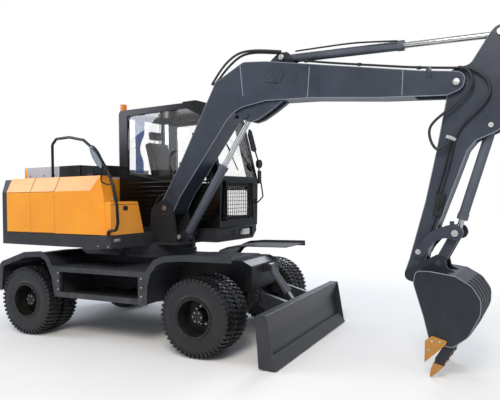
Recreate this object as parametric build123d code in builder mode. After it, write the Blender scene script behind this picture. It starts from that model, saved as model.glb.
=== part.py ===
from build123d import *
import os
from math import cos, hypot, pi, sin

# A wheeled excavator at real size, in millimetres.
# The origin is on the ground under the swing axis, +X to the blade, +Y to the left, +Z up.

os.makedirs("parts", exist_ok=True)

# Overall layout
front_axle_x = 1270
rear_axle_x = -1223
swing_angle = -4.3  # the upper structure is parked turned this much about the swing axis
pin_play = 0.3  # radial clearance of every pin in its bore
side_play = 5  # gap beside a moving eye, lug or plate
seat_gap = 0.3  # gap between a pane, lid or fitting and its seat

# Wheels, each a pair of tyres on one rim
tyre_radius = 430
tyre_width = 215
tyre_spacing = 250
wheels_outer = 1120  # from the middle plane to the outer face of the outer tyre
bead_radius = 205
wall_radius = 300  # where the tyre is widest
shoulder_radius = 375
bead_half = 92  # half the tyre's width at its bead
tyre_sides = 44  # flats round a tyre, a multiple of four so that a corner stands on the ground
rim_wall = 12
hub_radius = 120
hub_cap_radius = 78

# Axles and steering
kingpin_y = 610
kingpin_radius = 26
spindle_radius = 48
spindle_end = 920
axle_radius = 78
knuckle_radius = 50
yoke_half = 92
steering_arm = 165

# Chassis
frame_half = 380
frame_top = 960
pedestal_height = 50
bearing_radius = 520
deck_bottom = 1122
step_outer = 1060
step_top = 876
step_bottom = 505
rail_height = 62
rail_depth = 40
fender_plate = 10
fender_flange = 68

# Blade
blade_width = 2296
blade_pivot = (1640, 560)
blade_arm_y = 330
blade_arm_thickness = 60
blade_ram_base = (1655, 860)
blade_ram_pin = (1970, 455)
lug_thickness = 24
small_pin = 28

# Upper structure
upper_half = 1103
deck_top = 1279
deck_rear_x = -1640
deck_front_x = 886
deck_right_x = 262  # front of the deck on the hood's side
platform_right_y = 118
platform_top = 1300
hood_top = 1975
hood_chamfer_z = 1797
hood_chamfer_in = 90
hood_cab_x = -880
hood_inner_y = -400
hood_skin = 30
hood_seam_x = -1155
hood_door_front_x = -695
tail_radius = 2050
panel_gap = 5
lid_height = 150
lid_inset = 253

# Cab
cab_rear_x = -830
cab_right_y = 148
cab_left_y = 1098
cab_wall = 45
cab_top = 2958
pane = 6

# Boom, arm and bucket, drawn in the boom's plane as (x, z)
boom_y = -64
boom_half = 140
boom_foot = (315, 1563)
boom_foot_half = 130
boom_foot_radius = 100
foot_pin = 42
boom_nose = (3844, 2752)
nose_fork_half = 100
boom_ram_base = (546, 1210)
boom_ram_pin = (1517, 2649)
arm_half = 95
arm_ram_base = (1994, 3257)
arm_ram_pin = (4218, 3174)
bucket_ram_base = (4133, 2333)
rocker_pin = (3481, 1148)
link_top = (3820, 1336)
link_low = (3660, 1043)
bucket_pin = (3406, 905)
bucket_width = 698
ear_thickness = 25
ram_eye_width = 90
bucket_pins_half = arm_half + side_play + ear_thickness + 4
rocker_thickness = 22
rocker_y = bucket_pins_half + side_play + rocker_thickness / 2  # outside the bucket's ears

on_ground = Location((0, 0, 0))
parked = Location((0, 0, 0), (0, 0, swing_angle))


# Helpers that add to the piece being built


def put(plane, place):
    """A plane carried along by the structure it belongs to."""
    return Plane(place * plane.location)


def side(y, place=on_ground):
    """The upright drawing plane at this y, with x forward and z up."""
    return put(Plane.XZ.offset(-y), place)


def rounded(table, plane, grow=0):
    """A closed face through a table of (x, z, corner radius), grown or shrunk a little."""
    with BuildSketch(plane) as sketch:
        with BuildLine():
            corners = [(x, z) for x, z, radius in table]
            FilletPolyline(*corners, radius=[radius for x, z, radius in table], close=True)
        make_face()
        if grow:
            offset(amount=grow)
    return sketch.sketch


def plate(table, y, thickness, place=on_ground, mode=Mode.ADD, grow=0):
    """A plate with its middle at this y, cut to a table of (x, z, corner radius)."""
    face = rounded(table, side(y, place), grow)
    extrude(face, amount=thickness / 2, both=True, mode=mode)


def cross_bar(point, y, radius, length, place=on_ground, mode=Mode.ADD):
    """A round bar across the machine, centred on this y."""
    with Locations(place * Location((point[0], y, point[1]))):
        Cylinder(radius, length, rotation=(90, 0, 0), mode=mode)


def box(low, high, place=on_ground, mode=Mode.ADD):
    """A block between two opposite corners."""
    middle = [(a + b) / 2 for a, b in zip(low, high)]
    with Locations(place * Location(middle)):
        Box(*[b - a for a, b in zip(low, high)], mode=mode)


def ram_plane(base, tip, y, place=on_ground):
    """A plane at a cylinder's base pin, with its x along the cylinder."""
    run = (tip[0] - base[0], 0, tip[1] - base[1])
    return put(Plane(origin=(base[0], y, base[1]), x_dir=run, z_dir=(0, -1, 0)), place)


def ram_barrel(plane, eye, pin, radius, rod, length):
    """A cylinder's barrel: an eye at the plane's origin and a tube bored for the rod."""
    with Locations(plane):
        Cylinder(eye, ram_eye_width)
        with Locations(((eye + 20) / 2, 0, 0)):
            Box(eye + 20, 1.2 * eye, ram_eye_width)
        with Locations(((length + eye + 15) / 2, 0, 0)):
            Cylinder(radius, length - eye - 15, rotation=(0, 90, 0))
        with Locations((length - 30, 0, 0)):
            Cylinder(radius + 6, 60, rotation=(0, 90, 0))
        with Locations(((length + 2 * eye) / 2, 0, 0)):
            Cylinder(rod + pin_play, length - 2 * eye + 2, rotation=(0, 90, 0), mode=Mode.SUBTRACT)
        Cylinder(pin + pin_play, ram_eye_width, mode=Mode.SUBTRACT)


def ram_rod(plane, rod, start, reach, eye, width):
    """A cylinder's rod, from inside the barrel to a pinned eye at its far end."""
    with Locations(plane):
        with Locations(((start + reach) / 2, 0, 0)):
            Cylinder(rod, reach - start, rotation=(0, 90, 0))
        with Locations((reach, 0, 0)):
            Cylinder(eye, width)


def distance(a, b):
    return hypot(b[0] - a[0], b[1] - a[1])


def drum(centre, profile):
    """A closed many-sided ring across the machine, through corners given as (y, radius)."""
    rings = []
    for y, radius in profile:
        turns = [2 * pi * i / tyre_sides for i in range(tyre_sides)]
        rings.append([(centre[0] + radius * cos(t), y, centre[1] + radius * sin(t)) for t in turns])
    faces = []
    for ring, beside in zip(rings, rings[1:] + rings[:1]):
        for i in range(tyre_sides):
            corners = (ring[i - 1], ring[i], beside[i], beside[i - 1])
            faces.append(Face(Wire.make_polygon(corners, close=True)))
    return Solid(Shell(faces))


# Chassis

with BuildPart() as chassis_frame:
    spine = [
        (-1700, 640, 20), (-1700, 930, 20), (-1560, frame_top, 60), (1480, frame_top, 60),
        (1600, 900, 40), (1600, 625, 20), (1480, 600, 40), (1010, 600, 40), (900, 470, 40),
        (-860, 470, 40), (-970, 600, 40), (-1600, 600, 30),
    ]
    plate(spine, 0, 2 * frame_half)
    with Locations((0, 0, frame_top + pedestal_height / 2)):
        Cylinder(bearing_radius, pedestal_height)
    tow_plate = [(-1690, 590, 0), (-1690, 640, 0), (-1850, 640, 15), (-1850, 590, 15)]
    plate(tow_plate, 0, 260)
    with Locations((-1790, 0, 615)):
        Cylinder(22, 60, mode=Mode.SUBTRACT)
    rear_bumper = [(-1690, 520, 0), (-1690, 900, 0), (-1730, 900, 10), (-1730, 520, 10)]
    plate(rear_bumper, 0, 2 * frame_half)
    lug_gap = blade_arm_thickness / 2 + side_play
    for s in (-1, 1):
        for t in (-1, 1):
            lug = [(1540, 500, 20), (1540, 640, 0), (1695, 640, 50), (1695, 500, 50)]
            plate(lug, s * blade_arm_y + t * (lug_gap + lug_thickness / 2), lug_thickness)
        cross_bar(blade_pivot, s * blade_arm_y, small_pin, 2 * (lug_gap + lug_thickness + 8))
    for t in (-1, 1):
        lug = [(1590, 800, 0), (1590, 905, 0), (1700, 905, 45), (1700, 815, 45)]
        plate(lug, t * (ram_eye_width / 2 + side_play + lug_thickness / 2), lug_thickness)
    cross_bar(blade_ram_base, 0, small_pin, ram_eye_width + 2 * (side_play + lug_thickness + 8))
chassis_frame.part.label = "chassis_frame"
export_step(chassis_frame.part, "parts/chassis_frame.step")

with BuildPart() as swing_bearing:
    with BuildSketch(Plane.XY.offset(frame_top + pedestal_height)):
        Circle(bearing_radius - 20)
        Circle(bearing_radius - 120, mode=Mode.SUBTRACT)
    extrude(amount=deck_bottom - frame_top - pedestal_height - pin_play)
swing_bearing.part.label = "swing_bearing"
export_step(swing_bearing.part, "parts/swing_bearing.step")

# Steps and fenders: one welded frame a side, with an open locker between the arches
rear_arch = [(-752, 505), (-800, 760), (-905, 960), (-1010, 1020), (-1300, 1000), (-1730, 860), (-1762, 520)]
front_arch = [(590, 505), (600, 720), (650, 880), (740, 985), (860, 1030), (1080, 1050), (1700, 1056)]
front_post = [
    (505, 505, 0), (590, 505, 0), (600, 720, 60), (655, 885, 0), (690, 945, 0), (600, 876, 60),
    (505, 876, 0),
]
rear_post = [(-756, 505, 0), (-695, 505, 0), (-695, 876, 0), (-760, 876, 0), (-850, 890, 0), (-800, 760, 0)]
for name, s in (("right", -1), ("left", 1)):
    with BuildPart() as steps:
        for arch in (rear_arch, front_arch):
            with BuildSketch(side(s * (frame_half + step_outer) / 2)) as sheet:
                with BuildLine():
                    FilletPolyline(*arch, radius=60)
                trace(line_width=fender_plate)
            extrude(sheet.sketch, amount=(step_outer - frame_half) / 2, both=True)
            with BuildSketch(side(s * (step_outer - fender_plate / 2))) as flange:
                with BuildLine():
                    FilletPolyline(*arch, radius=60)
                trace(line_width=fender_flange)
            extrude(flange.sketch, amount=fender_plate / 2, both=True)
        inner, outer = sorted((s * frame_half, s * step_outer))
        rail_in, rail_out = sorted((s * (step_outer - rail_depth), s * step_outer))
        back_in, back_out = sorted((s * frame_half, s * (frame_half + 20)))
        box((-780, inner, step_top - 20), (600, outer, step_top))
        box((-780, rail_in, step_top - rail_height), (600, rail_out, step_top))
        box((-756, inner, step_bottom), (590, outer, step_bottom + 20))
        box((-756, rail_in, step_bottom), (590, rail_out, step_bottom + rail_height))
        box((-770, back_in, step_bottom), (595, back_out, step_top))
        for post in (front_post, rear_post):
            plate(post, (rail_in + rail_out) / 2, rail_depth)
    steps.part.label = f"side_steps_{name}"
    export_step(steps.part, f"parts/side_steps_{name}.step")

# Axles
with BuildPart() as front_axle:
    with Locations((front_axle_x, 0, tyre_radius)):
        Cylinder(axle_radius, 2 * 500, rotation=(90, 0, 0))
        Sphere(145)
        with Locations((0, 0, 140)):
            Box(170, 260, 60 - seat_gap)
    for s in (-1, 1):
        with Locations((front_axle_x, s * 510, tyre_radius)):
            Box(100, 50, 2 * (yoke_half + 33))
        for t in (-1, 1):
            with Locations((front_axle_x, s * 570, tyre_radius + t * (yoke_half + 18))):
                Box(90, 150, 30)
        with Locations((front_axle_x, s * kingpin_y, tyre_radius)):
            Cylinder(kingpin_radius, 2 * (yoke_half + 10))
    with Locations((front_axle_x - steering_arm, 0, tyre_radius + 45)):
        Cylinder(42, 380, rotation=(90, 0, 0))
        Cylinder(16 + pin_play, 400, rotation=(90, 0, 0), mode=Mode.SUBTRACT)
    with Locations((front_axle_x - 95, 0, tyre_radius + 60)):
        Box(60, 160, 50)
front_axle.part.label = "front_axle"
export_step(front_axle.part, "parts/front_axle.step")

with BuildPart() as steering_rod:
    with Locations((front_axle_x - steering_arm, 0, tyre_radius + 45)):
        Cylinder(16, 2 * (kingpin_y - 10), rotation=(90, 0, 0))
    for s in (-1, 1):
        with Locations((front_axle_x - steering_arm, s * (kingpin_y - 10), tyre_radius + 40)):
            Cylinder(28, 46)
steering_rod.part.label = "steering_rod"
export_step(steering_rod.part, "parts/steering_rod.step")

with BuildPart() as rear_axle:
    with Locations((rear_axle_x, 0, tyre_radius)):
        Cylinder(axle_radius, 2 * 600, rotation=(90, 0, 0))
        Cylinder(spindle_radius, 2 * spindle_end, rotation=(90, 0, 0))
        Sphere(145)
    for s in (-1, 1):
        with Locations((rear_axle_x, s * 610, tyre_radius)):
            Cylinder(100, 60, rotation=(90, 0, 0))
        with Locations((rear_axle_x, s * 280, tyre_radius + 110)):
            Box(150, 90, 2 * 60 - seat_gap)
rear_axle.part.label = "rear_axle"
export_step(rear_axle.part, "parts/rear_axle.step")

for name, s in (("right", -1), ("left", 1)):
    with BuildPart() as knuckle:
        with Locations((front_axle_x, s * kingpin_y, tyre_radius)):
            Cylinder(knuckle_radius, 2 * (yoke_half - 2))
        with Locations((front_axle_x, s * (kingpin_y + spindle_end) / 2, tyre_radius)):
            Cylinder(spindle_radius, spindle_end - kingpin_y, rotation=(90, 0, 0))
        with Locations((front_axle_x - steering_arm / 2, s * (kingpin_y - 10), tyre_radius)):
            Box(steering_arm + 50, 50, 24)
        with Locations((front_axle_x, s * kingpin_y, tyre_radius)):
            Cylinder(kingpin_radius + pin_play, 400, mode=Mode.SUBTRACT)
    knuckle.part.label = f"knuckle_{name}"
    export_step(knuckle.part, f"parts/knuckle_{name}.step")

# Wheels: profiles as (y, radius), a many-sided ring for each tyre and a turned rim
half_tyre = tyre_width / 2
bead_corner = (bead_radius + pin_play) / cos(pi / tyre_sides)
half_profile = [(bead_half, bead_corner), (half_tyre, wall_radius), (half_tyre - 4, shoulder_radius)]
half_profile += [(bead_half - 2, tyre_radius)]
tyre_profile = half_profile + [(-y, radius) for y, radius in half_profile[::-1]]
outer_y = wheels_outer - half_tyre
inner_y = outer_y - tyre_spacing
flange_radius = bead_radius + 11
rim_outline = [
    (inner_y - 107, flange_radius), (inner_y - 97, flange_radius), (inner_y - 97, bead_radius),
    (inner_y + 97, bead_radius), (inner_y + 97, flange_radius), (inner_y + 107, flange_radius),
    (inner_y + 107, bead_radius), (outer_y - 107, bead_radius), (outer_y - 107, flange_radius),
    (outer_y - 97, flange_radius), (outer_y - 97, bead_radius), (outer_y + 97, bead_radius),
    (outer_y + 97, flange_radius), (outer_y + 107, flange_radius),
    (outer_y + 107, bead_radius - rim_wall), (905, bead_radius - rim_wall), (900, 150),
    (890, hub_radius), (905, hub_cap_radius), (1040, hub_cap_radius - 8), (1045, 40), (1045, 0),
    (925, 0), (925, spindle_radius + pin_play), (700, spindle_radius + pin_play),
    (700, hub_radius), (865, hub_radius), (870, bead_radius - rim_wall),
    (inner_y - 107, bead_radius - rim_wall),
]
for axle_name, axle_x in (("front", front_axle_x), ("rear", rear_axle_x)):
    for side_name, s in (("right", -1), ("left", 1)):
        turned = Plane(origin=(axle_x, 0, tyre_radius), x_dir=(0, s, 0), z_dir=(s, 0, 0))
        axle_line = Axis((axle_x, 0, tyre_radius), (0, 1, 0))
        with BuildPart() as tyres:
            for middle in (s * inner_y, s * outer_y):
                add(drum((axle_x, tyre_radius), [(middle + y, radius) for y, radius in tyre_profile]))
        tyres.part.label = f"tyres_{axle_name}_{side_name}"
        export_step(tyres.part, f"parts/tyres_{axle_name}_{side_name}.step")
        with BuildPart() as rim:
            with BuildSketch(turned):
                with BuildLine():
                    Polyline(*rim_outline, close=True)
                make_face()
            revolve(axis=axle_line)
        rim.part.label = f"rim_{axle_name}_{side_name}"
        export_step(rim.part, f"parts/rim_{axle_name}_{side_name}.step")

# Dozer blade with its two arms
blade_ram_ear = ram_eye_width / 2 + side_play + 10
with BuildPart() as blade:
    mouldboard = [
        (2022, 539, 8), (2129, 539, 8), (2085, 330, 150), (2125, 130, 120), (2214, 14, 0),
        (2170, 14, 0), (2075, 60, 40), (2035, 170, 80), (2018, 330, 150),
    ]
    plate(mouldboard, 0, blade_width)
    end_plate = [(2010, 539, 15), (2129, 539, 15), (2214, 14, 5), (2040, 14, 15)]
    for s in (-1, 1):
        plate(end_plate, s * (blade_width / 2 - 8), 16)
        arm = [
            (1588, 508, 45), (1588, 610, 45), (1700, 612, 40), (2030, 520, 0), (2050, 300, 0),
            (1960, 300, 60),
        ]
        plate(arm, s * blade_arm_y, blade_arm_thickness)
        cross_bar(blade_pivot, s * blade_arm_y, small_pin + pin_play, 80, mode=Mode.SUBTRACT)
        ear = [(1930, 415, 35), (1930, 495, 35), (2028, 500, 0), (2040, 370, 0)]
        plate(ear, s * blade_ram_ear, 20)
        cross_bar(blade_ram_pin, s * (blade_ram_ear + 14), small_pin, 8)
blade.part.label = "blade"
export_step(blade.part, "parts/blade.step")

blade_ram = ram_plane(blade_ram_base, blade_ram_pin, 0)
blade_ram_reach = distance(blade_ram_base, blade_ram_pin)
with BuildPart() as blade_cylinder_barrel:
    ram_barrel(blade_ram, 44, small_pin, 46, 26, 370)
blade_cylinder_barrel.part.label = "blade_cylinder_barrel"
export_step(blade_cylinder_barrel.part, "parts/blade_cylinder_barrel.step")

with BuildPart() as blade_cylinder_rod:
    ram_rod(blade_ram, 26, 250, blade_ram_reach, 38, ram_eye_width)
blade_cylinder_rod.part.label = "blade_cylinder_rod"
export_step(blade_cylinder_rod.part, "parts/blade_cylinder_rod.step")

# Upper deck: the slab, the boom's bracket and the lugs of its cylinder
bracket_thickness = 35
lamp_recess = 45
rail_foot = 60
bracket_y = boom_foot_half + side_play + bracket_thickness / 2
ear_y = ram_eye_width / 2 + side_play + ear_thickness / 2
with BuildPart() as upper_deck:
    box((deck_rear_x, -upper_half, deck_bottom), (deck_right_x, hood_inner_y + 20, deck_top), parked)
    box((deck_rear_x, hood_inner_y, deck_bottom), (hood_cab_x + 60, upper_half, deck_top), parked)
    box((hood_cab_x, platform_right_y, deck_bottom), (deck_front_x, upper_half, platform_top), parked)
    box((hood_cab_x, hood_inner_y, deck_bottom), (640, platform_right_y, deck_bottom + 20), parked)
    bracket = [
        (60, 1130, 0), (100, 1570, 80), (300, 1680, 90), (430, 1600, 60), (470, 1440, 60),
        (510, 1130, 0),
    ]
    lug = [(420, 1130, 0), (480, 1260, 40), (540, 1285, 60), (612, 1245, 55), (620, 1130, 0)]
    for s in (-1, 1):
        plate(bracket, boom_y + s * bracket_y, bracket_thickness, parked)
        plate(lug, boom_y + s * ear_y, ear_thickness, parked)
    bar = 2 * (boom_foot_half + side_play + bracket_thickness + 8)
    cross_bar(boom_foot, boom_y, foot_pin, bar, parked)
    bar = 2 * (ear_y + ear_thickness / 2 + 10)
    cross_bar(boom_ram_base, boom_y, foot_pin - 8, bar, parked)
    rail_foot_low = (deck_right_x - rail_foot, -upper_half - 40, deck_top - 24)
    box(rail_foot_low, (deck_right_x, -upper_half, deck_top), parked)
    slot_y = ram_eye_width / 2 + side_play
    low = (490, boom_y - slot_y, deck_bottom - 1)
    box(low, (641, boom_y + slot_y, deck_bottom + 21), parked, Mode.SUBTRACT)
    with BuildSketch(Plane.XY.offset(deck_bottom)) as race:
        Circle(bearing_radius - 122)
    extrude(race.sketch, amount=-60)
    low = (deck_front_x - lamp_recess, 640, 1165)
    box(low, (deck_front_x + 1, 990, 1280), parked, Mode.SUBTRACT)
    corner_cut, corner_low = 300, deck_bottom - 1
    with BuildSketch(put(Plane.YZ.offset(deck_front_x - corner_cut), parked)) as corner:
        corner_top = (upper_half + 1, corner_low + 99)
        Polygon((upper_half + 1, corner_low), (upper_half - 100, corner_low), corner_top, align=None)
    extrude(corner.sketch, amount=corner_cut + 1, mode=Mode.SUBTRACT)
upper_deck.part.label = "upper_deck"
export_step(upper_deck.part, "parts/upper_deck.step")

with BuildPart() as counterweight:
    with BuildSketch(put(Plane.XY.offset(deck_bottom), parked)):
        Circle(tail_radius)
        with Locations((deck_rear_x - seat_gap, 0)):
            middle = (Align.MAX, Align.CENTER)
            Rectangle(2 * tail_radius, 2 * upper_half, align=middle, mode=Mode.INTERSECT)
    extrude(amount=hood_top - deck_bottom)
    top = hood_top - 10
    chamfer_y = upper_half - hood_chamfer_in
    profile = [(upper_half, deck_bottom), (upper_half, hood_chamfer_z), (chamfer_y, top)]
    with BuildSketch(put(Plane.YZ.offset(deck_rear_x), parked)) as section:
        Polygon(*profile, *[(-y, z) for y, z in profile[::-1]], align=None)
    extrude(section.sketch, amount=-tail_radius, mode=Mode.INTERSECT)
counterweight.part.label = "counterweight"
export_step(counterweight.part, "parts/counterweight.step")

# Hood: the engine bay behind the cab and the tank module beside the boom
hood_front = Plane(origin=(182, 0, deck_top), x_dir=(0, 1, 0), z_dir=(696, 0, 167))
corner_low, corner_high = (120, -upper_half, deck_top), (-73, -upper_half, hood_chamfer_z)
corner_in = (166, 111 - upper_half, 1672)
corner_edge = Vector(*corner_high) - Vector(*corner_low)
corner_run = Vector(*corner_in) - Vector(*corner_low)
hood_corner = Plane(origin=corner_low, z_dir=corner_edge.cross(corner_run))
oblique_low, oblique_high = (82, 226 - upper_half, 1691), (17, 208 - upper_half, 1958)
oblique_rear = (-390, hood_inner_y - 30, 1691)
oblique_edge = Vector(*oblique_high) - Vector(*oblique_low)
oblique_run = Vector(*oblique_rear) - Vector(*oblique_low)
hood_oblique = Plane(origin=oblique_low, z_dir=oblique_edge.cross(oblique_run))


def hood_block(skin):
    """The hood's outer block, or the hollow in it when a skin is given."""
    half = upper_half - skin
    top = hood_top - skin
    slope = [(half, deck_top - skin), (half, hood_chamfer_z), (half - hood_chamfer_in, top)]
    bay = [(-y, z) for y, z in slope] + slope[::-1]
    tank_y = hood_inner_y - skin
    tank = [(-y, z) for y, z in slope] + [(tank_y, top), (tank_y, deck_top - skin)]
    with BuildPart() as block:
        with BuildSketch(put(Plane.YZ.offset(deck_rear_x + skin), parked)):
            Polygon(*tank, align=None)
        extrude(amount=300 - deck_rear_x)
        split(bisect_by=put(hood_front, parked).offset(-skin), keep=Keep.BOTTOM)
        split(bisect_by=put(hood_corner, parked).offset(skin), keep=Keep.TOP)
        split(bisect_by=put(hood_oblique, parked).offset(skin), keep=Keep.TOP)
        with BuildSketch(put(Plane.YZ.offset(deck_rear_x + skin), parked)):
            Polygon(*bay, align=None)
        extrude(amount=hood_cab_x - deck_rear_x - 2 * skin)
    return block.part


door_low, door_high = deck_top + 8, hood_chamfer_z - 6
lid_rear_x, lid_front_x, lid_half = -1600, -905, upper_half - lid_inset
with BuildPart() as hood_shell:
    add(hood_block(0))
    add(hood_block(hood_skin), mode=Mode.SUBTRACT)
    box(
        (deck_rear_x - 1, -upper_half - 1, door_low - panel_gap),
        (hood_door_front_x, -upper_half + hood_skin + 1, door_high + panel_gap),
        parked,
        Mode.SUBTRACT,
    )
    box(
        (lid_rear_x + 60, -lid_half + 60, hood_top - hood_skin - 1),
        (lid_front_x - 60, lid_half - 60, hood_top + 1),
        parked,
        Mode.SUBTRACT,
    )
    post_y = -upper_half + hood_skin + seat_gap
    box((hood_seam_x - 25, post_y, deck_top), (hood_seam_x + 25, post_y + 30, hood_chamfer_z + 20), parked)
hood_shell.part.label = "hood_shell"
export_step(hood_shell.part, "parts/hood_shell.step")

hood_doors = (
    ("hood_door_rear", deck_rear_x + panel_gap, hood_seam_x - panel_gap / 2),
    ("hood_door_middle", hood_seam_x + panel_gap / 2, hood_door_front_x - panel_gap),
)
for name, rear, front in hood_doors:
    with BuildPart() as door:
        box((rear, -upper_half, door_low), (front, -upper_half + hood_skin, door_high), parked)
    door.part.label = name
    export_step(door.part, f"parts/{name}.step")

with BuildPart() as engine_cover:
    low = (lid_rear_x, -lid_half, hood_top + seat_gap)
    box(low, (lid_front_x, lid_half, hood_top + lid_height), parked)
    low = (lid_rear_x + 25, -lid_half + 25, hood_top)
    box(low, (lid_front_x - 25, lid_half - 25, hood_top + lid_height - 25), parked, Mode.SUBTRACT)
engine_cover.part.label = "engine_cover"
export_step(engine_cover.part, "parts/engine_cover.step")

with BuildPart() as air_box:
    low = (lid_front_x + 10, -lid_half, hood_top + seat_gap)
    box(low, (-520, -420, hood_top + lid_height), parked)
air_box.part.label = "air_box"
export_step(air_box.part, "parts/air_box.step")

with BuildPart() as intake_grille:
    low = (-520 + seat_gap, -lid_half + 10, hood_top + seat_gap)
    box(low, (-80, -430, hood_top + lid_height - 20), parked)
    for row in range(7):
        z = hood_top + 18 + 15 * row
        for start in (-500, -300):
            box((start, -lid_half + 9, z), (start + 185, -lid_half + 18, z + 8), parked, Mode.SUBTRACT)
            box((start, -439, z), (start + 185, -429, z + 8), parked, Mode.SUBTRACT)
intake_grille.part.label = "intake_grille"
export_step(intake_grille.part, "parts/intake_grille.step")

with BuildPart() as engine_block:
    box((-1560, -520, deck_top + seat_gap), (-980, 480, 1850), parked)
engine_block.part.label = "engine_block"
export_step(engine_block.part, "parts/engine_block.step")

# Tool box: it fills the corner in front of the hood's oblique face, its inner side leaning out
tool_box_top, tool_box_rear = 1660, -420
with BuildPart() as tool_box:
    side_y = -upper_half + 6
    section = [
        (side_y, deck_top + seat_gap, 0), (side_y, tool_box_top, 8), (-652, tool_box_top, 30),
        (-552, deck_top + seat_gap, 0),
    ]
    face = rounded(section, put(Plane.YZ.offset(tool_box_rear), parked))
    extrude(face, amount=deck_right_x - 4 - tool_box_rear)
    with BuildSketch(put(Plane.XY.offset(deck_top), parked)) as behind:
        wedge = [(185, -upper_half - 1), (85, -1035), (85, -900), (tool_box_rear - 1, -900)]
        Polygon(*wedge, (tool_box_rear - 1, -upper_half - 1), align=None)
    extrude(behind.sketch, amount=hood_top - deck_top, mode=Mode.SUBTRACT)
    add(hood_block(-seat_gap), mode=Mode.SUBTRACT)
tool_box.part.label = "tool_box"
export_step(tool_box.part, "parts/tool_box.step")

# Handrail: one bent tube on an upright plane that runs outward to the front
rail_radius = 17
rail_run = Plane(origin=(-862, 118 - upper_half, 0), x_dir=(1252, -152, 0), z_dir=(-152, -1252, 0))
rail_plane = put(rail_run, parked)
rail_route = [
    (0, hood_top + seat_gap), (0, 2390), (90, 2455), (370, 2455), (660, 2400), (920, 2240), (1100, 2030),
    (1210, 1850), (1268, 1620), (1280, 1430), (1250, 1345), (1104, 1330), (1104, deck_top + seat_gap),
]
with BuildPart() as handrails:
    with BuildLine(rail_plane) as rail_line:
        FilletPolyline(*rail_route, radius=36)
    with BuildSketch(Plane(origin=rail_line.line @ 0, z_dir=rail_line.line % 0)) as rail_end:
        Circle(rail_radius)
    sweep(rail_end.sketch, path=rail_line.line)
    mirror_y = 20 - upper_half
    mirror_stem = [
        (346, -28 - upper_half, 1868), (190, mirror_y, 1862), (95, mirror_y, 1895),
        (110, mirror_y, 2085),
    ]
    with BuildLine(parked) as mirror_line:
        FilletPolyline(*mirror_stem, radius=40)
    with BuildSketch(Plane(origin=mirror_line.line @ 0, z_dir=mirror_line.line % 0)) as mirror_end:
        Circle(9)
    sweep(mirror_end.sketch, path=mirror_line.line)
    with BuildSketch(side(mirror_y, parked)) as oval:
        with Locations((33, 2187)):
            Ellipse(168, 50, rotation=124.5)
    extrude(oval.sketch, amount=16, both=True)
handrails.part.label = "handrails"
export_step(handrails.part, "parts/handrails.step")

# Cab: one hollow shell with its windows cut
cab_outline = [
    (cab_rear_x, platform_top, 10), (cab_rear_x, cab_top, 60), (430, cab_top, 150), (690, 2850, 100),
    (925, 1930, 40), (905, platform_top, 10),
]
cab_inside = [
    (cab_rear_x + cab_wall, platform_top + cab_wall, 10), (cab_rear_x + cab_wall, cab_top - cab_wall, 12),
    (430 - 10, cab_top - cab_wall, 120), (690 - 38, 2850 - 38, 70), (925 - cab_wall, 1930, 30),
    (905 - cab_wall, platform_top + cab_wall, 10),
]
cab_middle = (cab_right_y + cab_left_y) / 2
cab_width = cab_left_y - cab_right_y
right_window = [
    (-670, 2045, 30), (-660, 2870, 50), (400, 2885, 90), (610, 2785, 60), (800, 2000, 60),
    (790, 1790, 40),
]
door_outline = [
    (-590, 1345, 20), (-590, 2870, 50), (400, 2885, 90), (610, 2785, 60), (855, 1900, 40),
    (840, 1345, 40),
]
door_window = [
    (-520, 1930, 30), (-520, 2800, 50), (380, 2815, 80), (560, 2740, 50), (760, 1960, 40),
    (750, 1880, 40),
]
door_low_window = [(-500, 1430, 40), (-500, 1800, 40), (765, 1800, 40), (765, 1430, 40)]
quarter_window = [(-770, 2060, 30), (-770, 2860, 30), (-660, 2865, 30), (-660, 2060, 30)]
post = 60
windscreen = [
    (cab_right_y + post, 1975), (cab_right_y + post, 2800), (cab_left_y - post, 2800),
    (cab_left_y - post, 1975),
]
low_window = [(290, 1450), (290, 1850), (880, 1850), (880, 1450)]
rear_window = [
    (cab_right_y + post, 2060), (cab_right_y + post, 2860), (cab_left_y - post, 2860),
    (cab_left_y - post, 2060),
]
skin_y = cab_wall / 2


def front_face(corners, x, depth, mode=Mode.ADD, grow=0.0):
    """A block cut through the cab from front to rear, to corners given as (y, z)."""
    with BuildSketch(put(Plane.YZ.offset(x), parked)) as face:
        Polygon(*corners, align=None)
        if grow:
            offset(amount=grow)
    extrude(face.sketch, amount=depth, mode=mode)


# Door hinges: a fork and pin on the cab's wall, a knuckle and leaf on the door
hinge_x, hinge_y = -590, cab_left_y + 14
hinge_heights = (1600, 2600)
hinge_pin, hinge_radius, knuckle_half, fork_half = 6, 11, 15, 32


def hinge_fork(z):
    for low, high in ((-fork_half, -knuckle_half - seat_gap), (knuckle_half + seat_gap, fork_half)):
        low_corner = (hinge_x - 50, cab_left_y, z + low)
        box(low_corner, (hinge_x, hinge_y + hinge_radius, z + high), parked)
        with Locations(parked * Location((hinge_x, hinge_y, z + (low + high) / 2))):
            Cylinder(hinge_radius, high - low)
    with Locations(parked * Location((hinge_x, hinge_y, z))):
        Cylinder(hinge_pin, 2 * fork_half)


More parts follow.
